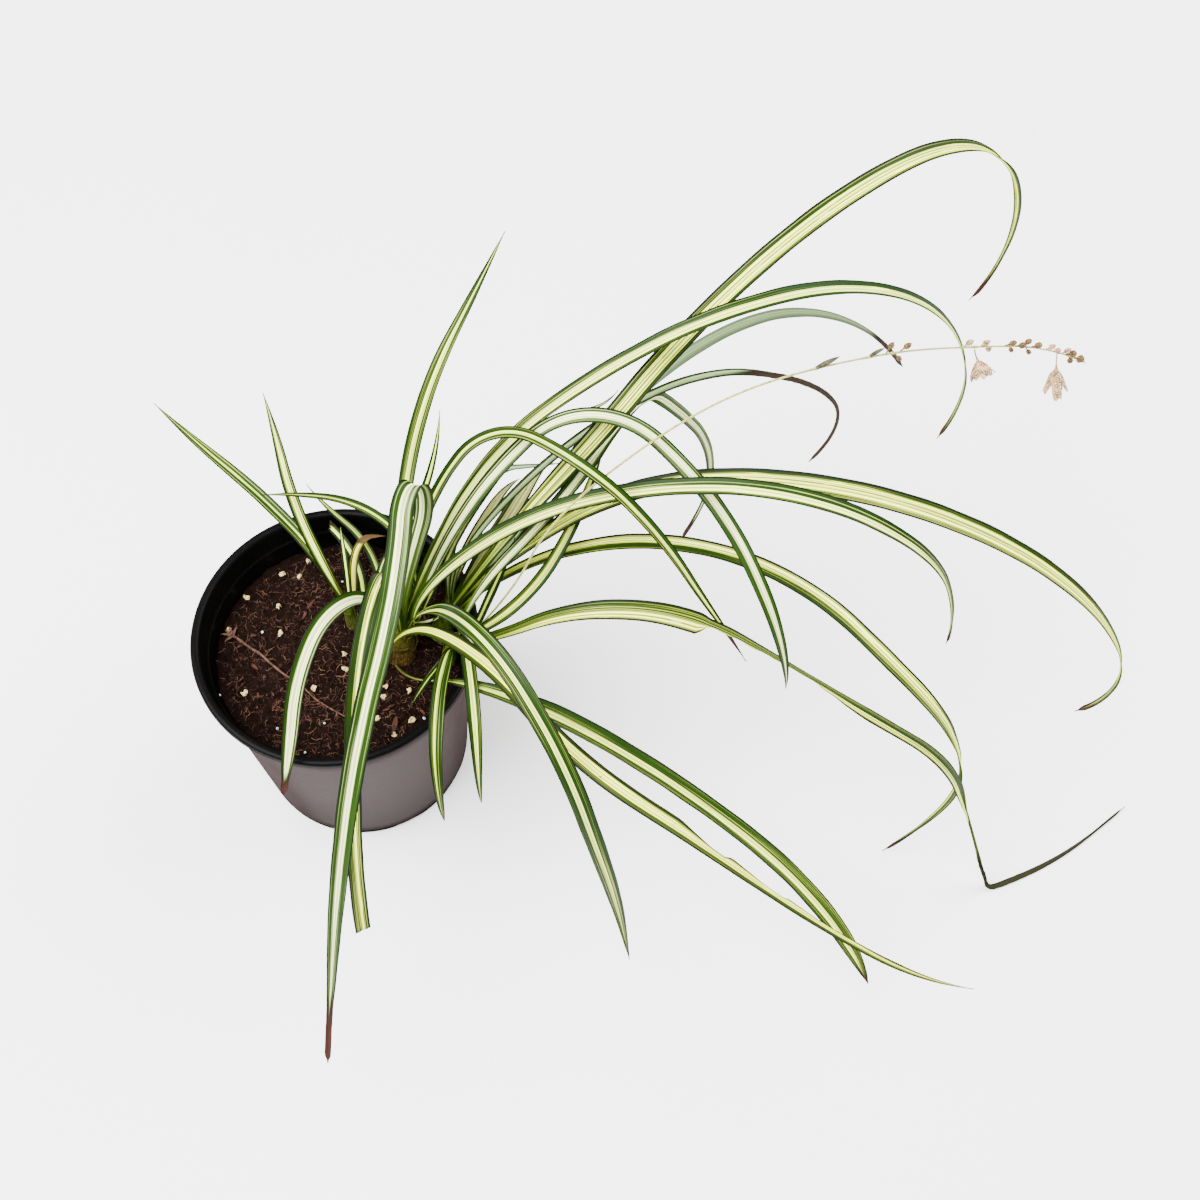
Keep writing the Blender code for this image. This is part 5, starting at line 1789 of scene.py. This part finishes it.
@dataclass
class FlowerStalk:
    """The long thin stalk with its scales, buds and last flowers."""

    steps: int = 30
    radius: float = 0.55
    tip_radius: float = 0.42
    bracts: tuple[Bract, ...] = (
        Bract("bract_lower", 0.53, 18, 12.0, 2.6), Bract("bract_middle", 0.60, 25, 8.0, 2.0))
    buds: tuple[Bud, ...] = (
        Bud("bud_inner", 0.63, 45, -35, 6.5, 1.3, 3), Bud("bud_middle", 0.83, 32, 15, 6.8, 1.45, 3),
        Bud("bud_outer", 0.88, 36, -10, 6.8, 1.5, 3), Bud("bud_tip", 0.97, 30, 15, 6.6, 1.9, 4))
    blooms: tuple[Bloom, ...] = (
        Bloom("flower_faded", 0.76, -70, -35, 6.0, 8.0, 9.0, 0.6, ((-9.0, 0.9), (5.0, 0.7), (11.0, -0.5))),
        Bloom("flower_withered", 0.93, -80, -60, 8.0, 8.5, 14.0, 0.8,
              ((-12.0, 0.8), (-5.0, 0.4), (4.0, 0.9))))
    bud_spacing: float = 4.6
    petals: int = 9
    stamens: int = 6
    growth: Growth = field(init=False)

    def __post_init__(self) -> None:
        """Grow the stalk's path."""
        self.growth = grow(SIDE.start(0.60, 15), 460, (15, 20, 30, 25, 30, 30, 20),
                           (50, 70, 20, -10, -30, -35, -45), self.steps)

    def frame(self, share: float) -> tuple[np.ndarray, ...]:
        """Place, along, across and up at the model's own step nearest a share."""
        index = round(share * self.steps) * SUBSTEPS
        g = self.growth
        return g.points[index], g.along[index], g.across[index], g.up[index]

    def build_stem(self) -> bpy.types.Object:
        """The stem, with a small swelling at each joint.

        Returns:
            The stem.
        """
        g = self.growth
        radii = self.radius + (self.tip_radius - self.radius) * g.shares
        for item in (*self.bracts, *self.buds, *self.blooms):
            joint = round(item.share * self.steps) / self.steps
            radii = radii + 0.28 * np.exp(-((g.shares - joint) * 230) ** 2)
        rng = np.random.default_rng(5)
        sway = np.convolve(rng.normal(0, 1, len(g.points)), np.hanning(25), "same")[:, None]
        points = g.points + g.across * sway * 0.05
        points[0] -= unit(g.points[0] - SIDE.centre(0.6)) * 2.0
        stem = Solid("flower_stalk_stem")
        stem.tube(points, radii, 10)
        finish = GrainFinish("stalk_straw", "6b6b34", "949346", "c4c266", 320.0, (1, 1, 1),
                             light_share=0.5, roughness=0.5, bump=0.0001, subsurface=0.1)
        return stem.finish(finish.dress())

    def build_bract(self, bract: Bract) -> bpy.types.Object:
        """A papery pointed scale, folded along its middle, that clasps the stalk.

        Args:
            bract: Its joint, its size and its lean.

        Returns:
            The scale.
        """
        place, along, across, up = self.frame(bract.share)
        lean = math.radians(bract.lean)
        axis = along * math.cos(lean) + up * math.sin(lean)
        out = up * math.cos(lean) - along * math.sin(lean)
        steps = np.linspace(0.0, 1.0, 22)
        wide = bract.width / 2 * np.clip(np.sin(math.pi * (0.18 + 0.82 * steps)) ** 0.8, 0.06, 1.0)
        arc = np.linspace(-1.0, 1.0, 9)
        bow = np.sin(steps * 2.2) * 0.7
        centre = place + up * 0.75 + axis * (steps * bract.length)[:, None] + out * bow[:, None]
        fold = 0.55 * wide[:, None] * (arc[None, :] ** 2 - 0.6)
        rows = spread(centre, across, wide, arc) - out * fold[:, :, None]
        scale = Solid(bract.name + "_scale")
        scale.ribbon(rows + out * 0.12, rows - out * 0.06)
        finish = GrainFinish(scale.name, "28251c", "484531", "8d855e", 500.0, roughness=0.75,
                             bump=0.0002, light_share=0.4)
        return scale.finish(finish.dress())

    def husk(self, shell: Solid, start: np.ndarray, axis: np.ndarray, out: np.ndarray, length: float,
             size: float) -> None:
        """Add one ribbed closed bud that leans along an axis.

        Args:
            shell: The solid that it is added to.
            start: Its foot.
            axis: The direction that it grows in.
            out: The direction that it bows in.
            length: Its length.
            size: Its radius.
        """
        steps = np.linspace(0.0, 1.0, 30)
        swell = np.interp(steps, (0.0, 0.22, 0.34, 0.46, 0.64, 0.84, 1.0),
                          (0.24, 0.24, 0.40, 0.88, 1.0, 0.66, 0.06))
        bend = out * (np.sin(steps * math.pi) * 0.25)[:, None]
        shell.tube(start + axis * (steps * length)[:, None] + bend, swell * size, 18, lobes=0.10)

    def build_bud(self, bud: Bud) -> bpy.types.Object:
        """A ribbed closed bud on a short curved foot, with its smaller neighbours at the same joint.

        Args:
            bud: Its joint, its size and the way it points.

        Returns:
            One object with the whole cluster.
        """
        place, along, across, up = self.frame(bud.share)
        shell = Solid(bud.name + "_husk")
        for index, (round_it, radius, length) in enumerate(NEIGHBOURS[:bud.cluster]):
            lean, turn = math.radians(bud.lean - 9 * index), math.radians(bud.turn + round_it)
            out = up * math.cos(turn) + across * math.sin(turn)
            axis = along * math.cos(lean) + out * math.sin(lean)
            start = place + along * (self.bud_spacing * (index - (bud.cluster - 1) / 2)) + out * 0.5
            self.husk(shell, start, axis, out, bud.length * length, bud.radius * radius)
        finish = GrainFinish(shell.name, "2b1b14", "5b3f23", "ad9241", 420.0, roughness=0.6,
                             bump=0.0002, light_share=0.45, subsurface=0.05)
        return shell.finish(finish.dress())

    def petal(self, flower: Solid, heart: np.ndarray, axis: np.ndarray, radial: np.ndarray, bloom: Bloom,
              width: float, rng: np.random.Generator) -> None:
        """Add one narrow petal that bends back, with a fold along its middle.

        Args:
            flower: The solid that it is added to.
            heart: Where the petals meet.
            axis: The direction that the flower faces.
            radial: The direction that this petal grows in.
            bloom: The flower's sizes.
            width: The petal's width.
            rng: Random numbers of this flower.
        """
        steps = np.linspace(0.0, 1.0, 18)
        arc = np.linspace(-1.0, 1.0, 7)
        tangent = np.cross(axis, radial)
        reach = bloom.reach * rng.uniform(0.86, 1.0)
        lean = bloom.lean * rng.uniform(0.8, 1.15) * steps ** (2 - bloom.wither)
        out = reach * steps * (1 - 0.25 * bloom.wither * steps)
        sway = np.sin(steps * rng.uniform(1, 3)) * rng.uniform(-1.2, 1.2) * (0.4 + bloom.wither)
        centre = heart + radial * out[:, None] + axis * lean[:, None] + tangent * sway[:, None]
        wide = width / 2 * np.clip(np.sin(math.pi * (0.10 + 0.88 * steps)) ** 0.7, 0.08, 1.0)
        curl = wide[:, None] * (arc[None, :] ** 2) * (0.25 + 0.5 * bloom.wither)
        crumple = rng.normal(0, 0.06 + 0.12 * bloom.wither, (len(steps), len(arc)))
        rows = spread(centre, tangent, wide, arc) + axis * (curl + crumple)[:, :, None]
        flower.ribbon(rows + axis * 0.06, rows - axis * 0.06)

    def build_bloom(self, bloom: Bloom) -> bpy.types.Object:
        """An open flower: stem, petals, stamens with anthers, a style and the buds beside it.

        Args:
            bloom: Its joint, the way it faces and how withered it is.

        Returns:
            The flower.
        """
        rng = np.random.default_rng(int(bloom.share * 1000))
        place, along, _, up = self.frame(bloom.share)
        axis = aim(bloom.heading, bloom.pitch)
        side = unit(np.cross(axis, np.array([0.3, 0.9, 0.2])))
        other = np.cross(axis, side)
        heart = place + axis * (1.1 + bloom.length)
        flower = Solid(bloom.name + "_petals")
        steps = np.linspace(0.0, 1.0, 12)
        stem = place + (heart - place) * steps[:, None] + other * (np.sin(steps * math.pi) * 0.5)[:, None]
        flower.tube(stem, np.interp(steps, (0, 0.7, 1), (0.34, 0.36, 0.85)), 10)
        for index in range(self.petals):
            turn = math.tau * index / self.petals + rng.uniform(-0.12, 0.12)
            radial = side * math.cos(turn) + other * math.sin(turn)
            self.petal(flower, heart - axis * 0.2, axis, radial, bloom, 4.0 if index % 2 else 5.6, rng)
        for index in range(self.stamens + 1):
            is_style = index == self.stamens
            turn = math.tau * (index + 0.5) / self.stamens
            radial = (side * math.cos(turn) + other * math.sin(turn)) * (0.0 if is_style else 1.0)
            size = 5.2 * (1 - 0.3 * bloom.wither)
            line = heart + axis * (steps * size)[:, None] + radial * (np.sin(steps * 1.5) * 2.1)[:, None]
            flower.tube(line, np.full(len(steps), 0.13), 5)
            if not is_style:
                tip = line[-1] + (axis * 0.8 + radial * 0.4) * np.linspace(-1.0, 1.0, 7)[:, None]
                flower.tube(tip, 0.42 * np.sin(np.linspace(0.35, 2.8, 7)), 7)
        for offset, lean in bloom.buds:
            leaning = unit(along * math.cos(lean) + up * math.sin(lean))
            self.husk(flower, place + along * offset, leaning, unit(other + along * 0.4), 6.0, 1.5)
        finish = GrainFinish(flower.name, "543829", "b17e5e", "f7f7bc", 330.0, roughness=0.6,
                             bump=0.0002, strength=0.5, light_share=0.45)
        return flower.finish(finish.dress())

    def build(self) -> None:
        """Build and adopt the stalk and all that it carries."""
        adopt(self.build_stem(), "flower_stalk", "flower_stalk")
        for bract in self.bracts:
            adopt(self.build_bract(bract), "dry_scale", bract.name)
        for bud in self.buds:
            adopt(self.build_bud(bud), "dry_scale", bud.name)
        for bloom in self.blooms:
            adopt(self.build_bloom(bloom), "petal", bloom.name)


# ---------------- Dry runner ----------------


@dataclass
class DryRunner:
    """A dead runner on the soil, with side hairs and a star of dried scales at its end."""

    points: tuple[tuple[float, float], ...] = (
        (-55, 9), (-46, 3), (-38, -3), (-29, -11), (-21, -16), (-10, -26), (-3, -31), (5, -35))
    radius: float = 0.9
    hairs: int = 16
    scales: int = 5

    def centreline(self, count: int) -> np.ndarray:
        """Points along the runner, just clear of the soil."""
        share = np.linspace(0.0, 1.0, count)
        window = np.hanning(15) / np.hanning(15).sum()
        x, y = (np.convolve(np.pad(stations(places, share), 7, "edge"), window, "valid")
                for places in np.array(self.points, float).T)
        return np.stack([x, y, soil_height(x, y) + self.radius + 0.35 * np.sin(share * 19) ** 2], -1)

    def build(self) -> None:
        """Build and adopt the runner."""
        rng = np.random.default_rng(21)
        line = self.centreline(110)
        share = np.linspace(0.0, 1.0, len(line))
        knots = 1.0 + 0.35 * np.exp(-((share * 6.3) % 1.0 - 0.5) ** 2 * 90)
        runner = Solid("dry_runner_stem")
        runner.tube(line, (0.66 - 0.34 * share) * knots, 9)
        steps = np.linspace(0.0, 1.0, 9)
        for _ in range(self.hairs):
            index = int(rng.uniform(0.1, 0.98) * (len(line) - 1))
            heading, length = rng.uniform(0, 360), rng.uniform(3.0, 8.5)
            turn = heading + steps * rng.uniform(-70, 70)
            hair = line[index] + np.cumsum(aim(turn, np.full(9, -4.0)) * (length / 9), axis=0)
            hair[:, 2] = soil_height(hair[:, 0], hair[:, 1]) + 0.5
            runner.tube(hair, 0.16 * (1 - 0.6 * steps), 5)
        arc = np.linspace(-1.0, 1.0, 5)
        for index in range(self.scales):
            heading = 150 + (index - self.scales // 2) * 38 + rng.uniform(-9, 9)
            out = aim(heading, rng.uniform(4, 20))
            across = np.array([out[1], -out[0], 0.0])
            length = rng.uniform(3.6, 6.2)
            centre = line[0] + out * (steps * length)[:, None] + UP * (np.sin(steps * 2.4) * 0.8)[:, None]
            wide = 0.85 * (1 - steps ** 1.6) + 0.07
            cup = 0.35 * wide[:, None] * arc[None, :] ** 2
            rows = spread(centre, across, wide, arc) + UP * cup[:, :, None]
            runner.ribbon(rows + UP * 0.12, rows - UP * 0.10)
        finish = GrainFinish("runner_dry", "2f1d15", "50372b", "84604e", 380.0, roughness=0.8,
                             bump=0.0003, light_share=0.42)
        adopt(runner.finish(finish.dress()), "dry_runner", "dry_runner")


# ---------------- Studio ----------------


@dataclass(frozen=True)
class Lamp:
    """A soft square light: where it stands, what it faces, how wide it is and its power in watts."""

    name: str
    place: tuple[float, float, float]
    target: tuple[float, float, float]
    size: float
    power: float

    def light(self) -> None:
        """Put it in the scene."""
        data = bpy.data.lights.new(self.name, "AREA")
        data.size, data.energy = self.size, self.power
        lamp = bpy.data.objects.new(self.name, data)
        lamp.location = self.place
        lamp.rotation_euler = (Vector(self.target) - Vector(self.place)).to_track_quat("-Z", "Y").to_euler()
        bpy.context.collection.objects.link(lamp)


@dataclass
class Studio:
    """A plain pale floor, soft light and the camera that looks down on the plant."""

    floor_size: float = 6.0
    floor_drop: float = 0.0002
    world_strength: float = 1.12
    lamps: tuple[Lamp, ...] = (Lamp("key", (-0.8, -0.4, 1.9), (0.1, 0.0, 0.1), 1.8, 245.0),
                               Lamp("fill", (1.3, 0.6, 1.5), (0.1, 0.0, 0.1), 1.5, 85.0))
    camera_place: tuple[float, float, float] = (0.1291, -0.3696, 0.8708)
    camera_tilt: float = 27.64
    lens: float = 51.0
    sensor: float = 36.0

    def build_floor(self) -> None:
        """A wide matt floor just under the pot."""
        half = self.floor_size / 2
        corners = [(x * half, y * half, -self.floor_drop) for x, y in ((-1, -1), (1, -1), (1, 1), (-1, 1))]
        mesh = bpy.data.meshes.new("studio_floor")
        mesh.from_pydata(corners, [], [(0, 1, 2, 3)])
        material, w, shader = new_material("studio_floor")
        tint = w.mix(w.noise(w.place(), 3.0), (0.86, 0.865, 0.87), (0.89, 0.893, 0.897))
        w.feed(shader, Base_Color=tint, Roughness=0.9, Specular_IOR_Level=0.1)
        mesh.materials.append(material)
        floor = bpy.data.objects.new("studio_floor", mesh)
        bpy.context.collection.objects.link(floor)

    def build(self) -> None:
        """Set up floor, light and camera."""
        self.build_floor()
        world = bpy.data.worlds.new("studio_world")
        world.use_nodes = True
        sky = world.node_tree.nodes["Background"]
        Wiring(world.node_tree).feed(sky, Color=(1.0, 1.0, 1.0), Strength=self.world_strength)
        bpy.context.scene.world = world
        for lamp in self.lamps:
            lamp.light()
        data = bpy.data.cameras.new("studio_camera")
        data.lens, data.sensor_width = self.lens, self.sensor
        camera = bpy.data.objects.new("studio_camera", data)
        camera.location = self.camera_place
        camera.rotation_euler = (math.radians(self.camera_tilt), 0.0, 0.0)
        bpy.context.collection.objects.link(camera)
        bpy.context.scene.camera = camera


def main() -> None:
    """Build the looks piece by piece, in order."""
    logging.basicConfig(level=logging.INFO, format="%(name)s %(message)s")
    adopt(Pot().build(), "pot_plastic", "pot")
    SoilBed().build()
    Crowns().build()
    for number, leaf in enumerate(LEAVES):
        adopt(leaf.build(number + 1), "leaf_blade", leaf.name)
    FlowerStalk().build()
    DryRunner().build()
    Studio().build()


if __name__ == "__main__":
    main()
